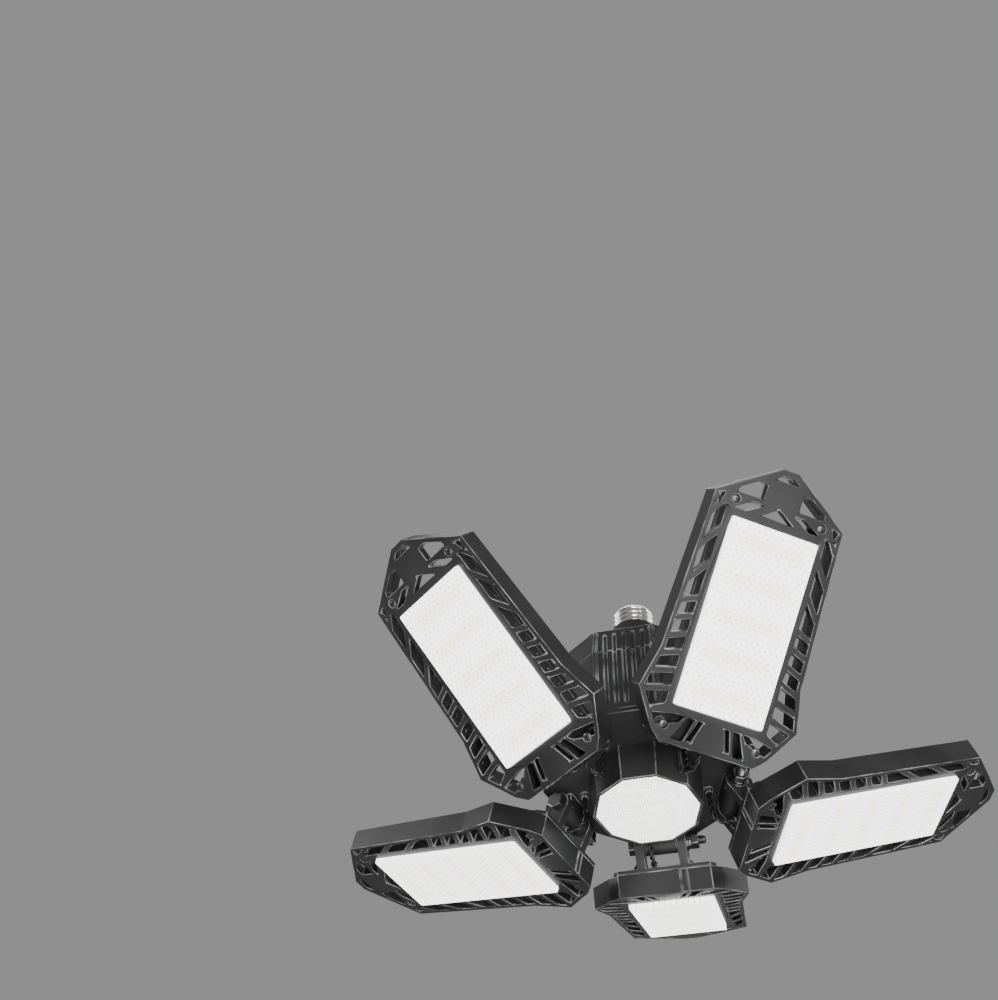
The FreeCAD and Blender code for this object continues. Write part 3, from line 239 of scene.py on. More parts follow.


# %% [markdown]
# ## Black finishes
# The housing and the frames are moulded in black plastic with a fine spark-eroded grain. The hub
# plate and the heat sinks are castings under black powder, which is rougher and a little lumpy.
# Both have a soft sheen that is uneven where hands have rubbed them. Their rounded edges carry a painted
# highlight: a paler grey, in patches, that stands in for light catching them.

# %% Moulded and powdered black
HANDLED = (0.35, 0.70)              # noise levels from untouched to handled
HANDLED_ROUGHNESS = 0.08
GRAIN_DEPTH = 0.10                  # as a share of the grain's size
FINE_GRAIN = 0.3                    # scale of the second, weaker grain against the first
COOL = (1.0, 1.01, 1.04)


def moulded_black(name, level, rough, grain, spread=0.2, patches=35.0):
    """Black plastic or powder: grain is the size of its texture's lumps in metres.

    The level of grey varies by the share called spread, with that many patches to the metre.
    """
    finish = Finish(name)
    cloud = finish.noise(patches, 3.0)
    lumps = finish.noise(1.0 / grain, 1.0)
    handled = cloud.clamp(*HANDLED)
    pale = grey(level * (1.0 + spread), COOL)
    base = finish.mix(handled, grey(level * (1.0 - spread)), pale)
    finish.shade(base_color=base, roughness=handled * HANDLED_ROUGHNESS + rough)
    finish.bump(lumps + finish.noise(FINE_GRAIN / grain, 2.0) * 0.5, grain * GRAIN_DEPTH, 0.5)
    return finish.material


# The housing and casting levels are set paler and the frame's darker as painted light and shade, evening out how
# brightly the lamps light each.
HOUSING_BLACK = moulded_black("housing_black", level=0.034, rough=0.36, grain=0.00045)
FRAME_BLACK = moulded_black("frame_black", level=0.024, rough=0.36, grain=0.00040)
CASTING_BLACK = moulded_black("casting_black", level=0.032, rough=0.45, grain=0.00075)
# The pale grey for rounded edges is a painted highlight that stands in for light catching them.
PAINTED_EDGE_HIGHLIGHT = moulded_black(
    "painted_edge_highlight", level=0.22, rough=0.26, grain=0.00060, spread=0.7, patches=90.0
)
SHEATH_BLACK = moulded_black("sheath_black", level=0.020, rough=0.30, grain=0.00060)
INSULATOR_BLACK = moulded_black("insulator_black", level=0.012, rough=0.16, grain=0.00120)

# %% [markdown]
# ## Metals
# The shell is thin brass under bright nickel, drawn and rolled, so it has faint turning lines round
# it. The hinge bolts are zinc plated and darkened, and the small screws are blackened steel.

# %% Bright and dark metals
ROUND_THE_AXIS = (0.05, 0.05, 1.0)  # stretches noise into lines round Z
STAINS = 160.0                      # to the metre
STAINED = (0.45, 0.75)              # noise levels from clean to stained
STAINED_LEVEL = 0.72


def metal(name, colour, rough, lines, scratch):
    """Metal with fine lines round its axis: how many to the metre, and how deep in metres."""
    finish = Finish(name)
    turned = finish.noise(lines, 2.0, ROUND_THE_AXIS)
    stain = finish.noise(STAINS, 4.0).clamp(*STAINED)
    dull = tuple(channel * STAINED_LEVEL for channel in colour[:3]) + (1.0,)
    finish.shade(
        base_color=finish.mix(stain, colour, dull), metallic=1.0 - stain * 0.15,
        roughness=turned * 0.10 + stain * 0.12 + rough,
    )
    finish.bump(turned, scratch, 0.4)
    return finish.material


NICKEL = metal("bright_nickel", grey(0.86, (1.0, 0.99, 0.97)), 0.10, 5000.0, 0.00002)
TINNED = metal("tinned_contact", grey(0.74, (1.0, 0.99, 0.95)), 0.28, 1500.0, 0.00004)
DARK_ZINC = metal("dark_zinc", grey(0.24, (1.0, 1.0, 1.02)), 0.26, 1500.0, 0.000004)
BLACKENED = metal("blackened_steel", grey(0.16), 0.30, 1500.0, 0.000004)

# %% [markdown]
# ## Prismatic lenses
# The panel lenses are milky plastic with staggered rows of small pips, about 3 mm apart, and the rows of chips
# behind them show as five faint warm bands. The centre lens has finer pips, in rings near its edge. A pip is drawn
# as a bump and as a slight painted shade, because each one catches the light on one side. The lenses also glow: a
# painted glow that stands in for the studio light falling on them.

# %% Lens plastic
ROW_PITCH = 5.2 * MM                # pips along a panel's length
ACROSS_PITCH = 3.2 * MM             # and across it
WINDOW_START = 15.0 * MM
WINDOW_LENGTH = 95.0 * MM
BAND_COUNT = 5
BAND_HALF = 16.5 * MM
CHIP_PITCH = 5.5 * MM
RING_PITCH = 1.55 * MM              # pips of the centre lens
RING_START = 19.0 * MM              # from here outwards they stand in rings
PIPS_IN_A_RING = 100.0
CENTRE_BAND_PITCH = 7.5 * MM
CENTRE_BAND_HALF = 15.5 * MM
PIP_HEIGHT = 0.25 * MM
PIP_VARIATION = 260.0               # scale of the noise that makes the pips uneven
PIP_TONE = 0.85                     # share of the shade's tone on a full pip
BAND_TONE = 0.75                    # share of the warm tone in a full band
PANEL_PIP = (0.62, 0.95)            # levels of the waves between which a pip rises
CENTRE_PIP = (0.15, 0.50)
# Painted glow: the lenses give out light of their own colours, standing in for the studio light on them.
PAINTED_LENS_GLOW = 3.2
LENS_WHITE = grey(0.90, (0.99, 1.0, 0.99))
LENS_WARM = grey(0.80, (1.0, 0.95, 0.66))
LENS_SHADE = grey(0.22, (0.97, 1.0, 1.0))


def wave(spot, pitch):
    """A smooth wave between 0 and 1 with one crest to each pitch."""
    return (spot * (2.0 * pi / pitch)).math("COSINE") * 0.5 + 0.5


def lens_plastic(name, centre):
    """Milky plastic with pips and warm bands, for the centre lens or for a panel's."""
    finish = Finish(name)
    spot = finish.node("ShaderNodeSeparateXYZ", {}, {0: finish.place()})
    x = Wire(finish, spot.socket.node.outputs[0])
    y = Wire(finish, spot.socket.node.outputs[1])
    if centre:
        reach = (x * x + y * y).math("SQRT")
        angle = y.math("ARCTAN2", x)
        edge = reach.clamp(RING_START, RING_START + 0.5 * MM)
        round_dots = wave(reach, RING_PITCH) * ((angle * PIPS_IN_A_RING).math("COSINE") * 0.5 + 0.5)
        row_dots = wave(x, RING_PITCH) * wave(y, RING_PITCH) * 0.8
        dots = round_dots * edge + row_dots * (1.0 - edge)
        sides = x.math("ABSOLUTE").clamp(CENTRE_BAND_HALF + 1 * MM, CENTRE_BAND_HALF)
        glow = (sides * wave(y, CENTRE_BAND_PITCH)).clamp(0.3, 0.9) * 0.5
    else:
        across = y * (ROW_PITCH / ACROSS_PITCH)
        dots = wave(x + across, ROW_PITCH) * wave(x - across, ROW_PITCH)
        band = WINDOW_LENGTH / BAND_COUNT
        along = wave(x - (WINDOW_START + band / 2), band)
        sides = y.math("ABSOLUTE").clamp(BAND_HALF + 2 * MM, BAND_HALF)
        chips = wave(y, CHIP_PITCH) * 0.35 + 0.65
        glow = along.clamp(0.55, 0.95) * sides * chips
    raised = dots.clamp(*(CENTRE_PIP if centre else PANEL_PIP))
    uneven = finish.noise(PIP_VARIATION, 2.0).clamp(0.3, 0.65) * 0.5 + 0.5
    white = finish.mix(glow * BAND_TONE, LENS_WHITE, LENS_WARM)
    toned = finish.mix(raised * uneven * PIP_TONE, white, LENS_SHADE)
    # The emission is a painted glow that stands in for the studio light on the lens.
    finish.shade(
        base_color=toned, roughness=raised * 0.15 + 0.22, emission_color=toned,
        emission_strength=PAINTED_LENS_GLOW,
    )
    finish.bump(raised, PIP_HEIGHT, 0.6)
    return finish.material


PANEL_LENS = lens_plastic("panel_lens", False)
CENTRE_LENS = lens_plastic("centre_lens", True)

# %% [markdown]
# ## Inside pieces
# Behind the lenses are white boards with yellow phosphor strips, and inside the housing a green
# driver board with sleeved parts. They hardly show, but light that gets in finds the right colours.

# %% Boards and driver parts
COAT_SHADES = (0.4, 0.7)            # noise levels from the coat's colour to its darker one
COAT_RIPPLE = 0.03 * MM


def painted(name, colour, rough, scale, evenness=0.8):
    """A smooth coat over a fine uneven surface."""
    finish = Finish(name, by_attribute=False)
    cloud = finish.noise(scale, 3.0)
    darker = tuple(channel * evenness for channel in colour[:3]) + (1.0,)
    finish.shade(
        base_color=finish.mix(cloud.clamp(*COAT_SHADES), colour, darker),
        roughness=cloud * 0.15 + rough,
    )
    finish.bump(cloud, COAT_RIPPLE, 0.4)
    return finish.material


WHITE_BOARD = painted("white_board", grey(0.80), 0.30, 400.0)
PHOSPHOR = painted("phosphor", (0.86, 0.72, 0.22, 1.0), 0.55, 900.0)
GREEN_BOARD = painted("green_board", (0.02, 0.12, 0.05, 1.0), 0.30, 300.0)
SLEEVES = painted("sleeved_parts", (0.03, 0.03, 0.045, 1.0), 0.28, 200.0)

# %% [markdown]
# ## Dressing a piece
# The imported pieces have true sizes and knife-sharp edges. A copy of each one, with its triangles welded together
# and its edges rounded by a bevel, catches the pale edge lights that the real mouldings show; on most black pieces
# a painted highlight on the rounded edges adds to them. The copy stands for the piece and rides on the same body.

# %% Copies with rounded edges
WELD = 0.001 * MM
SHORTEST_EDGE = 0.02 * MM
CREASE = 35.0                       # degrees above which an edge stays sharp in the shading
BEVEL_FROM = 28.0                   # degrees above which an edge is rounded
IN_PLACE = Matrix.Identity(4)


def body_of(node):
    """The body that a piece of the model rides on."""
    for name, nodes in frame["record"]["behaviour"]["bodies"].items():
        if node in nodes:
            return name


def mesh_from(work, name):
    """A new mesh from a bmesh, which is freed."""
    mesh = bpy.data.meshes.new(name)
    work.to_mesh(mesh)
    work.free()
    return mesh


def modified_mesh(piece):
    """A new mesh of the piece as its modifiers leave it."""
    bpy.context.view_layer.update()
    return bpy.data.meshes.new_from_object(
        piece.evaluated_get(bpy.context.evaluated_depsgraph_get())
    )


def link(name, data):
    """A new object in the scene."""
    piece = bpy.data.objects.new(name, data)
    bpy.context.scene.collection.objects.link(piece)
    return piece


def flat_copy(node, seat, name):
    """The piece's mesh in the frame of seat, with its faces welded together."""
    mesh = frame["nodes"][node].data.copy()
    mesh.name = name
    mesh.transform(seat.inverted())
    work = bmesh.new()
    work.from_mesh(mesh)
    bmesh.ops.remove_doubles(work, verts=work.verts, dist=WELD)
    bmesh.ops.dissolve_degenerate(work, edges=work.edges, dist=SHORTEST_EDGE)
    work.to_mesh(mesh)
    work.free()
    return mesh


def smooth(mesh, angle=CREASE):
    mesh.polygons.foreach_set("use_smooth", [True] * len(mesh.polygons))
    mesh.set_sharp_from_angle(angle=radians(angle))


def keep_own_frame(mesh):
    """Keep each point's present place as an attribute, so that a finish can follow it."""
    own = mesh.attributes.new(OWN_FRAME, "FLOAT_VECTOR", "POINT")
    own.data.foreach_set("vector", [value for vertex in mesh.vertices for value in vertex.co])


def put(mesh, name, body, material, seat, nodes):
    """Link a copy of a mesh, moved to its seat, as a piece that rides on a body.

    Without a material the mesh keeps its own. The piece stands for the given nodes, if any.
    """
    mesh = mesh.copy()
    mesh.name = name
    if material:
        mesh.materials.clear()
        mesh.materials.append(material)
    keep_own_frame(mesh)
    mesh.transform(seat)
    piece = link(name, mesh)
    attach(piece, body)
    if nodes:
        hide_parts(*nodes)
    return piece


def round_edges(piece, width, segments=2, painted_highlight=False):
    """Round all sharp edges; with a painted highlight, their rounded faces get a pale grey that stands in for
    light catching them.
    """
    bevel = piece.modifiers.new("rounded_edges", "BEVEL")
    bevel.width = width
    bevel.segments = segments
    bevel.limit_method = "ANGLE"
    bevel.angle_limit = radians(BEVEL_FROM)
    bevel.use_clamp_overlap = False
    bevel.miter_outer = "MITER_ARC"
    if painted_highlight:
        piece.data.materials.append(PAINTED_EDGE_HIGHLIGHT)
        bevel.material = 1
    flat = piece.modifiers.new("flat_faces", "WEIGHTED_NORMAL")
    flat.keep_sharp = True


def dress(node, material, width, painted_highlight=False):
    """The usual way: copy, give it its finish, round the edges."""
    mesh = flat_copy(node, IN_PLACE, "dressed_" + node)
    smooth(mesh)
    piece = put(mesh, "dressed_" + node, body_of(node), material, IN_PLACE, [node])
    round_edges(piece, width, painted_highlight=painted_highlight)


# %% [markdown]
# ## Housing, hub and centre cup
# The housing is two mouldings that meet at a seam. Rounding each one's edges by half a millimetre
# makes the seam a fine dark line, and the upright grooves and corner beads get their soft edges.

# %% Housing
# The rounded edges of these pieces get a painted highlight.
dress("housing_body", HOUSING_BLACK, 0.45 * MM, painted_highlight=True)
dress("housing_cap", HOUSING_BLACK, 0.45 * MM, painted_highlight=True)
dress("hub_plate", CASTING_BLACK, 0.50 * MM, painted_highlight=True)
dress("centre_cup", HOUSING_BLACK, 0.40 * MM, painted_highlight=True)
dress("neck_collar", HOUSING_BLACK, 0.60 * MM)
dress("centre_lens", CENTRE_LENS, 0.50 * MM)
print("housing, hub, cup, neck and centre lens dressed")

# %% [markdown]
# ## Threads
# A thread is one ridge that winds round a core. A grid of points does it: each ring of the grid
# lies at one height, and its radius follows a wave that moves on by one pitch in each turn. The
# screw base has round, shallow turns; a hinge bolt has fine ones.

# %% Winding a thread
def circle(radius, height, sides):
    """Points round Z, at one height."""
    turns = [2 * pi * side / sides for side in range(sides)]
    return [(radius * cos(turn), radius * sin(turn), height) for turn in turns]


def tube(name, rings):
    """A mesh through rings of points, closed at both ends."""
    work = bmesh.new()
    rows = [[work.verts.new(point) for point in ring] for ring in rings]
    for lower, upper in zip(rows, rows[1:]):
        for side in range(len(lower)):
            work.faces.new((lower[side - 1], lower[side], upper[side], upper[side - 1]))
    work.faces.new(rows[-1])
    work.faces.new(list(reversed(rows[0])))
    bmesh.ops.recalc_face_normals(work, faces=work.faces)
    return mesh_from(work, name)


def thread_mesh(name, root, depth, pitch, length, run_out, sharpness, end, sides, steps_per_pitch):
    """A threaded tube along +Z from 0 to length, then through the radii and heights of its end."""
    steps = max(2, round(length / pitch * steps_per_pitch))
    rings = []
    for step in range(steps + 1):
        height = length * step / steps
        fade = max(0.0, min(1.0, height / run_out, (length - height) / run_out))
        ring = []
        for side in range(sides):
            share = side / sides
            crest = 0.5 + 0.5 * cos(2 * pi * (height / pitch - share))
            radius = root + depth * fade * crest ** sharpness
            angle = 2 * pi * share
            ring.append((radius * cos(angle), radius * sin(angle), height))
        rings.append(ring)
    return tube(name, rings + [circle(radius, height, sides) for radius, height in end])


SHELL_DEPTH = 1.0 * MM
SHELL_PITCH = 3.63 * MM
SHELL_RUN_OUT = 1.2 * MM
SHELL_TURN_IN = 2.2 * MM            # height of the shell's rounded end
SHELL_END_RADIUS = 9.6 * MM
ROUNDING_OUT = 0.8 * MM             # the rounded end halfway, against a straight slope
ROUNDING_UP = 1.2 * MM
THREAD_CREASE = 60.0
shell_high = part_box("screw_shell")[1]
shell_root = shell_high.x - SHELL_DEPTH
thread_length = shell_high.z - SHELL_TURN_IN
half_turn_in = (shell_root + SHELL_END_RADIUS) / 2
shell = thread_mesh(
    "screw_shell_wound", root=shell_root, depth=SHELL_DEPTH, pitch=SHELL_PITCH,
    length=thread_length, run_out=SHELL_RUN_OUT, sharpness=1.0,
    end=[(half_turn_in + ROUNDING_OUT, thread_length + ROUNDING_UP),
         (SHELL_END_RADIUS, thread_length + SHELL_TURN_IN)],
    sides=96, steps_per_pitch=12,
)
smooth(shell, THREAD_CREASE)
put(shell, "screw_shell_wound", "lamp", NICKEL, IN_PLACE, ["screw_shell"])
dress("base_insulator", INSULATOR_BLACK, 0.50 * MM)
dress("centre_contact", TINNED, 0.80 * MM)
print("screw shell: %.1f turns" % (thread_length / SHELL_PITCH))

# %% [markdown]
# ## Panels
# Each frame is one moulding: a deep skirt, a border round the window and blades that fan out to the
# rim. The corners of the openings between the blades are rounded first, by a bevel of the upright
# edges as deep as the grille, and then all sharp edges get a smaller one.

# %% Frames, heat sinks and lenses
GRILLE_DEPTH = 5.0 * MM
HOLE_ROUNDING = 0.75 * MM
LENGTH_SLACK = 0.2 * MM
UPRIGHT = 0.999                     # least share of an edge's length that runs along Z
CORNER_FROM = 20.0                  # degrees between the walls of a corner that is rounded
FRAME_CREASE = 15.0
FRAME_EDGE = 0.35 * MM


def round_openings(mesh):
    """Round the upright corners of the grille's openings."""
    work = bmesh.new()
    work.from_mesh(mesh)
    upright = []
    for edge in work.edges:
        run = edge.verts[1].co - edge.verts[0].co
        if abs(abs(run.z) - GRILLE_DEPTH) < LENGTH_SLACK and abs(run.z) > UPRIGHT * run.length:
            if len(edge.link_faces) == 2 and degrees(edge.calc_face_angle()) > CORNER_FROM:
                upright.append(edge)
    bmesh.ops.bevel(
        work, geom=upright, offset=HOLE_ROUNDING, offset_type="OFFSET", segments=3, profile=0.5,
        affect="EDGES", clamp_overlap=True,
    )
    work.to_mesh(mesh)
    work.free()
    return len(upright)


def with_round_edges(mesh, material, width):
    """The mesh with its edges rounded for good.

    Where many edges meet, a bevel can throw a corner far out. Such corners are put back on the
    surface.
    """
    mesh.materials.clear()
    mesh.materials.append(material)
    points = [vertex.co for vertex in mesh.vertices]
    surface = BVHTree.FromPolygons(points, [face.vertices for face in mesh.polygons])
    holder = link("holder", mesh)
    # The rounded edges get a painted highlight.
    round_edges(holder, width, painted_highlight=True)
    result = modified_mesh(holder)
    bpy.data.objects.remove(holder)
    stray = 0
    for vertex in result.vertices:
        nearest, _, _, distance = surface.find_nearest(vertex.co)
        if distance > width:
            vertex.co = nearest
            stray += 1
    print("corners put back:", stray, "of", len(result.vertices))
    return result


flat_seat = panel_seat(1)[0]


def flat_mesh(node, name):
    """A piece of panel 1, flat, with smooth shading."""
    mesh = flat_copy(node, flat_seat, name)
    smooth(mesh)
    return mesh


frame_mesh = flat_copy("panel_frame_1", flat_seat, "grille_frame")
print("upright corners rounded:", round_openings(frame_mesh))
smooth(frame_mesh, FRAME_CREASE)
frame_mesh = with_round_edges(frame_mesh, FRAME_BLACK, FRAME_EDGE)
sink_mesh = flat_mesh("heat_sink_1", "finned_casting")
lens_mesh = flat_mesh("diffuser_1", "lens_tray")
for number in PANELS:
    seat = panel_seat(number)[0]
    body = "panel_%d" % number
    put(frame_mesh, "grille_frame_%d" % number, body, None, seat,
        ["panel_frame_%d" % number])
    piece = put(sink_mesh, "finned_casting_%d" % number, body, CASTING_BLACK, seat,
                ["heat_sink_%d" % number])
    # The casting's rounded edges get a painted highlight.
    round_edges(piece, 0.40 * MM, painted_highlight=True)
    piece = put(lens_mesh, "lens_tray_%d" % number, body, PANEL_LENS, seat,
                ["diffuser_%d" % number])
    round_edges(piece, 0.70 * MM, segments=3)

# %% [markdown]
# ## Hinge bolts
# A bolt is a hexagon head with a chamfer, a plain shank through the lugs and the knuckle, and a
# threaded end that stands out of its nut. Under the nut are a flat washer and a split spring
# washer, which keeps the hinge stiff enough to hold the panel where it is set.

# %% Hinge bolts, nuts and washers
BOLT_RADIUS = 2.5 * MM
BOLT_PITCH = 0.8 * MM
LUG_OUTER = 14.2 * MM
NUT_STACK = 6.5 * MM
BOLT_END = 4.0 * MM                 # how far the bolt stands out of its nut
BOLT_THREAD_DEPTH = 0.45 * MM
BOLT_CHAMFER = 0.5 * MM             # height of the bolt's chamfered end
BOLT_END_RADIUS = BOLT_RADIUS - 0.7 * MM
BOLT_EDGE = 0.35 * MM
STUB = 0.2 * MM                     # of the plain shank, left outside the lug
thread_run = NUT_STACK + BOLT_END
bolt_thread = thread_mesh(
    "bolt_thread", root=BOLT_RADIUS - BOLT_THREAD_DEPTH, depth=BOLT_THREAD_DEPTH,
    pitch=BOLT_PITCH, length=thread_run - BOLT_CHAMFER, run_out=0.3 * MM, sharpness=0.8,
    end=[(BOLT_END_RADIUS, thread_run)], sides=32, steps_per_pitch=8,
)
smooth(bolt_thread, 50.0)
thread_place = Matrix.Translation((0, -LUG_OUTER, 0)) @ Matrix.Rotation(radians(90), 4, "X")
bolt_mesh = flat_copy("hinge_bolt_1", flat_seat, "hinge_bolt")
for vertex in bolt_mesh.vertices:
    if vertex.co.y < -LUG_OUTER:
        vertex.co.y = -LUG_OUTER - STUB
smooth(bolt_mesh)
nut_mesh = flat_mesh("hinge_nut_1", "hinge_nut")
for number in PANELS:
    seat = panel_seat(number)[0]
    body = "panel_%d" % number
    piece = put(bolt_mesh, "hinge_bolt_dressed_%d" % number, body, DARK_ZINC, seat,
                ["hinge_bolt_%d" % number])
    round_edges(piece, BOLT_EDGE)
    put(bolt_thread, "bolt_thread_%d" % number, body, DARK_ZINC,
        seat @ thread_place, [])
    piece = put(nut_mesh, "hinge_nut_dressed_%d" % number, body, DARK_ZINC, seat,
                ["hinge_nut_%d" % number])
    round_edges(piece, BOLT_EDGE)
print("hinge bolts with %.1f mm of thread" % (thread_run / MM))

# %% [markdown]
# ## Small screws
# The screws are pan heads with a cross recess. A head is a low dome of rings that draw in as they
# rise, and the recess is cut from it with a cross of two tapered bars. The model's own screws say
# where each one stands and how long it is.

# %% Cross-head screws
FLAT_TOP = 0.15                     # of the radius
STRAIGHT_EDGE = 0.35                # of the height
RECESS_TAPER = 0.6                  # size of the recess at its floor against its mouth


def dome(name, radius, height, sides=32, count=5):
    """A low dome on a straight edge, with its flat side at z 0."""
    rings = []
    for ring in range(count):
        share = ring / (count - 1)
        reach = radius * (1.0 - (1.0 - FLAT_TOP) * share ** 2)
        rise = height * (STRAIGHT_EDGE + (1.0 - STRAIGHT_EDGE) * sin(share * pi / 2))
        rings.append(circle(reach, rise, sides))
    return tube(name, [circle(radius, 0.0, sides)] + rings)


def crossed(head, width, reach, floor_z, top_z):
    """The same head with a cross cut into it, of bars with this half width and half length."""
    work = bmesh.new()
    for size in ((reach, width), (width, reach)):
        bar = bmesh.ops.create_cube(work, size=1.0)
        for vertex in bar["verts"]:
            taper = 1.0 if vertex.co.z > 0 else RECESS_TAPER
            vertex.co.x *= 2 * size[0] * taper
            vertex.co.y *= 2 * size[1] * taper
            vertex.co.z = top_z if vertex.co.z > 0 else floor_z
    cutter = link("cross", mesh_from(work, "cross"))
    block = link("head", head)
    cut = block.modifiers.new("cut", "BOOLEAN")
    cut.operation = "DIFFERENCE"
    cut.object = cutter
    cut.use_self = True
    result = modified_mesh(block)
    for thing in (cutter, block):
        bpy.data.objects.remove(thing)
    return result


FRAME_HEAD = 2.1 * MM               # radius
FRAME_HEAD_HEIGHT = 1.2 * MM
FRAME_SHANK = 1.15 * MM             # radius
CAP_HEAD = 2.9 * MM
CAP_HEAD_HEIGHT = 1.8 * MM
CAP_SHANK = 1.4 * MM
SPIN = 37.0                         # degrees by which each screw is turned further than the last
frame_head = crossed(
    dome("frame_screw_head", FRAME_HEAD, FRAME_HEAD_HEIGHT), width=0.28 * MM, reach=1.2 * MM,
    floor_z=0.5 * MM, top_z=2 * MM,
)
cap_head = crossed(
    dome("cap_screw_head", CAP_HEAD, CAP_HEAD_HEIGHT), width=0.40 * MM, reach=1.7 * MM,
    floor_z=0.8 * MM, top_z=3 * MM,
)


def screw_boxes(node, seat):
    """Lowest and highest corner of each separate screw of a node, in the frame of seat."""
    mesh = flat_copy(node, seat, "screws")
    work = bmesh.new()
    work.from_mesh(mesh)
    left = set(work.verts)
    found = []
    for first in work.verts:
        if first not in left:
            continue
        left.remove(first)
        stack = [first]
        group = []
        while stack:
            vertex = stack.pop()
            group.append(vertex.co.copy())
            others = [edge.other_vert(vertex) for edge in vertex.link_edges]
            fresh = [other for other in others if other in left]
            left.difference_update(fresh)
            stack += fresh
        found.append([
            Vector([pick(spot[axis] for spot in group) for axis in range(3)]) for pick in (min, max)
        ])
    work.free()
    bpy.data.meshes.remove(mesh)
    return found


def screw_mesh(name, head, head_height, shank_radius, boxes, face_down):
    """Crossed heads on plain shanks, one screw in each box, with its head at one end of it."""
    work = bmesh.new()
    for k, (low, high) in enumerate(boxes):
        middle = (low + high) / 2
        length = high.z - low.z - head_height
        seat_z = low.z + head_height if face_down else high.z - head_height
        flip = Matrix.Rotation(pi if face_down else 0.0, 4, "X")
        place = Matrix.Translation((middle.x, middle.y, seat_z)) @ flip
        one = head.copy()
        one.transform(place @ Matrix.Rotation(radians(SPIN * k), 4, "Z"))
        work.from_mesh(one)
        bpy.data.meshes.remove(one)
        bmesh.ops.create_cone(
            work, cap_ends=True, segments=12, radius1=shank_radius, radius2=shank_radius,
            depth=length, matrix=place @ Matrix.Translation((0, 0, -length / 2)),
        )
    mesh = mesh_from(work, name)
    smooth(mesh, 30.0)
    return mesh


frame_boxes = screw_boxes("frame_screws_1", flat_seat)
frame_screws = screw_mesh(
    "frame_screws", frame_head, FRAME_HEAD_HEIGHT, FRAME_SHANK, frame_boxes, True
)
for number in PANELS:
    seat = panel_seat(number)[0]
    put(frame_screws, "frame_screws_crossed_%d" % number, "panel_%d" % number,
        BLACKENED, seat, ["frame_screws_%d" % number])
cap_boxes = screw_boxes("housing_screws", IN_PLACE)
cap_screws = screw_mesh("cap_screws", cap_head, CAP_HEAD_HEIGHT, CAP_SHANK, cap_boxes, False)
put(cap_screws, "housing_screws_crossed", "lamp", BLACKENED, IN_PLACE,
    ["housing_screws"])
print("screws:", len(frame_boxes) * len(PANELS) + len(cap_boxes))

# %% [markdown]
# ## Cables over the hinges
# A twisted pair runs from a gland under the hub plate, round the hinge, into a clamp on the panel.
# Its route is a smooth curve through the same corner points as the model's cable, and two strands wind round it.

# %% Twisted pairs
CABLE_SIDE = 4.5 * MM               # from the middle of the hinge
CABLE_HUB_RADIUS = 34.5 * MM        # of the glands from the lamp's axis
CABLE_TURNS = 3
CLAMP_X = -3.6 * MM                 # of the panel's clamp, from the hinge axis
CLAMP_Z = -11.2 * MM
TWIST_LENGTH = 9.0 * MM
STRAND_OFFSET = 0.68 * MM           # of a strand from the middle of the pair
STRAND_RADIUS = 0.74 * MM


def cable_corners(number, gland_z):
    """Corner points of the route, from clamp to gland in the upright plane beside the hinge."""
    seat, tilt = panel_seat(number)
    start = seat @ Vector((CLAMP_X, CABLE_SIDE, CLAMP_Z))
    out = Vector((seat.translation.x, seat.translation.y, 0.0)).normalized()
    side = Vector((0, 0, 1)).cross(out)
    reach = start.dot(out)
    height = start.z
    bend = (90.0 + tilt) / CABLE_TURNS
    headings = [radians(180.0 + tilt - bend * k) for k in range(CABLE_TURNS)]
    run = (reach - CABLE_HUB_RADIUS) / -sum(cos(heading) for heading in headings)
    flat = [(reach, height)]
    for heading in headings:
        reach += run * cos(heading)
        height += run * sin(heading)
        flat.append((reach, height))
    flat.append((CABLE_HUB_RADIUS, gland_z))
    return [out * r + side * CABLE_SIDE + Vector((0, 0, z)) for r, z in flat]


def smooth_route(corners):
    """Points along a smooth spline with these control points."""
    curve = bpy.data.curves.new("route", "CURVE")
    curve.dimensions = "3D"
    curve.resolution_u = 12
    spline = curve.splines.new("NURBS")
    spline.points.add(len(corners) - 1)
    for point, corner in zip(spline.points, corners):
        point.co = (*corner, 1.0)
    spline.order_u = 3
    spline.use_endpoint_u = True
    holder = bpy.data.objects.new("route", curve)
    line = bpy.data.meshes.new_from_object(holder)
    points = [vertex.co.copy() for vertex in line.vertices]
    bpy.data.objects.remove(holder)
    return points


def strand_mesh(points, phase, sides=12):
    """A tube that winds round a line of points."""
    rings = []
    travelled = 0.0
    normal = (points[1] - points[0]).orthogonal().normalized()
    for k, point in enumerate(points):
        before = points[max(0, k - 1)]
        after = points[min(len(points) - 1, k + 1)]
        heading = (after - before).normalized()
        normal = (normal - heading * normal.dot(heading)).normalized()
        across = heading.cross(normal)
        travelled += (point - before).length
        angle = phase + 2 * pi * travelled / TWIST_LENGTH
        centre = point + (normal * cos(angle) + across * sin(angle)) * STRAND_OFFSET
        rings.append([
            centre + (normal * x + across * y) for x, y, _ in circle(STRAND_RADIUS, 0.0, sides)
        ])
    mesh = tube("strand", rings)
    smooth(mesh, 50.0)
    return mesh


for number in PANELS:
    corners = cable_corners(number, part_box("cable_%d" % number)[1].z)
    route = smooth_route(corners)
    for strand in (0, 1):
        mesh = strand_mesh(route, strand * pi)
        mesh.materials.append(SHEATH_BLACK)
        keep_own_frame(mesh)
        piece = link("cable_%d_strand_%d" % (number, strand + 1), mesh)
        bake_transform(piece)
        if strand == 0:
            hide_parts("cable_%d" % number)
    length = sum((b - a).length for a, b in zip(route, route[1:]))
    print("cable %d: %.1f mm of twisted pair" % (number, length / MM))

# %% [markdown]
# ## The pieces that stay plain
# Boards, chips and driver parts keep the model's own solids and only get their finishes.

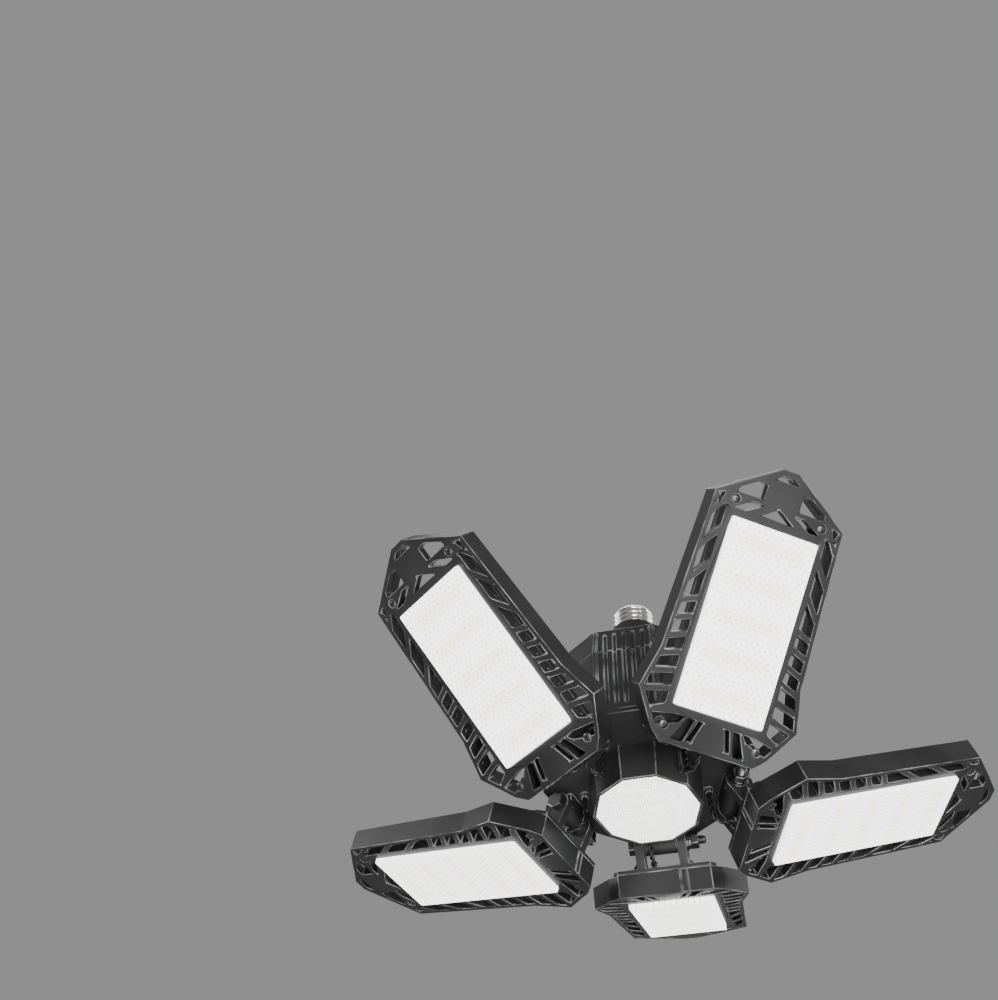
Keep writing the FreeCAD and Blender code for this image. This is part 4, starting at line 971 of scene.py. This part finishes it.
# %% Finishes for the inner pieces
INNER = {
    "driver_board": GREEN_BOARD, "driver_parts": SLEEVES, "centre_led_board": WHITE_BOARD,
    "centre_led_chips": PHOSPHOR,
}
for number in PANELS:
    INNER["led_board_%d" % number] = WHITE_BOARD
    INNER["led_chips_%d" % number] = PHOSPHOR
for node, material in INNER.items():
    piece = frame["nodes"][node]
    piece.data.materials.clear()
    piece.data.materials.append(material)
print("inner pieces finished:", len(INNER))

# %% [markdown]
# ## Floor and light
# A plain pale floor lies well below the light and below the lamps. Large soft lamps stand where a
# product photographer would put them: a key from below and in front, a fill from straight below, a
# rim light on each side, and a high back light. The plain grey world is the background.

# %% Stage
FLOOR_Z = -1.50
FLOOR_HALF = 40.0
WORLD_GREY = 0.29
floor_mesh = bpy.data.meshes.new("floor")
floor_corners = [(-1, -1), (1, -1), (1, 1), (-1, 1)]
floor_mesh.from_pydata(
    [(x * FLOOR_HALF, y * FLOOR_HALF, FLOOR_Z) for x, y in floor_corners], [], [(0, 1, 2, 3)]
)
floor_piece = link("floor", floor_mesh)
floor_mesh.materials.append(painted("pale_floor", grey(0.80), 0.6, 8.0, 0.97))

world = bpy.data.worlds.new("studio")
world.use_nodes = True
background = world.node_tree.nodes["Background"]
background.inputs["Color"].default_value = grey(WORLD_GREY)
background.inputs["Strength"].default_value = 1.0
bpy.context.scene.world = world


def soft_light(name, azimuth, elevation, distance, size, power):
    """A square soft lamp that faces the light's middle."""
    data = bpy.data.lights.new(name, "AREA")
    data.size = size
    data.energy = power
    lamp = link(name, data)
    turn, rise = radians(azimuth), radians(elevation)
    spot = Vector((cos(turn) * cos(rise), sin(turn) * cos(rise), sin(rise))) * distance
    lamp.location = lens_centre + spot
    lamp.rotation_euler = spot.to_track_quat("Z", "Y").to_euler()
    print(name, "stands at", [round(v, 2) for v in lamp.location])


LAMPS = [                           # azimuth, elevation, distance, width and power
    ("key", -60.0, -30.0, 1.1, 0.8, 13.0),
    ("left_rim", -165.0, 15.0, 1.0, 0.5, 5.0),
    ("right_rim", 5.0, 10.0, 1.0, 0.5, 3.0),
    ("top_back", 90.0, 60.0, 1.3, 0.8, 6.0),
    ("low_fill", -105.0, -70.0, 1.0, 0.8, 3.0),
]
for lamp in LAMPS:
    soft_light(*lamp)
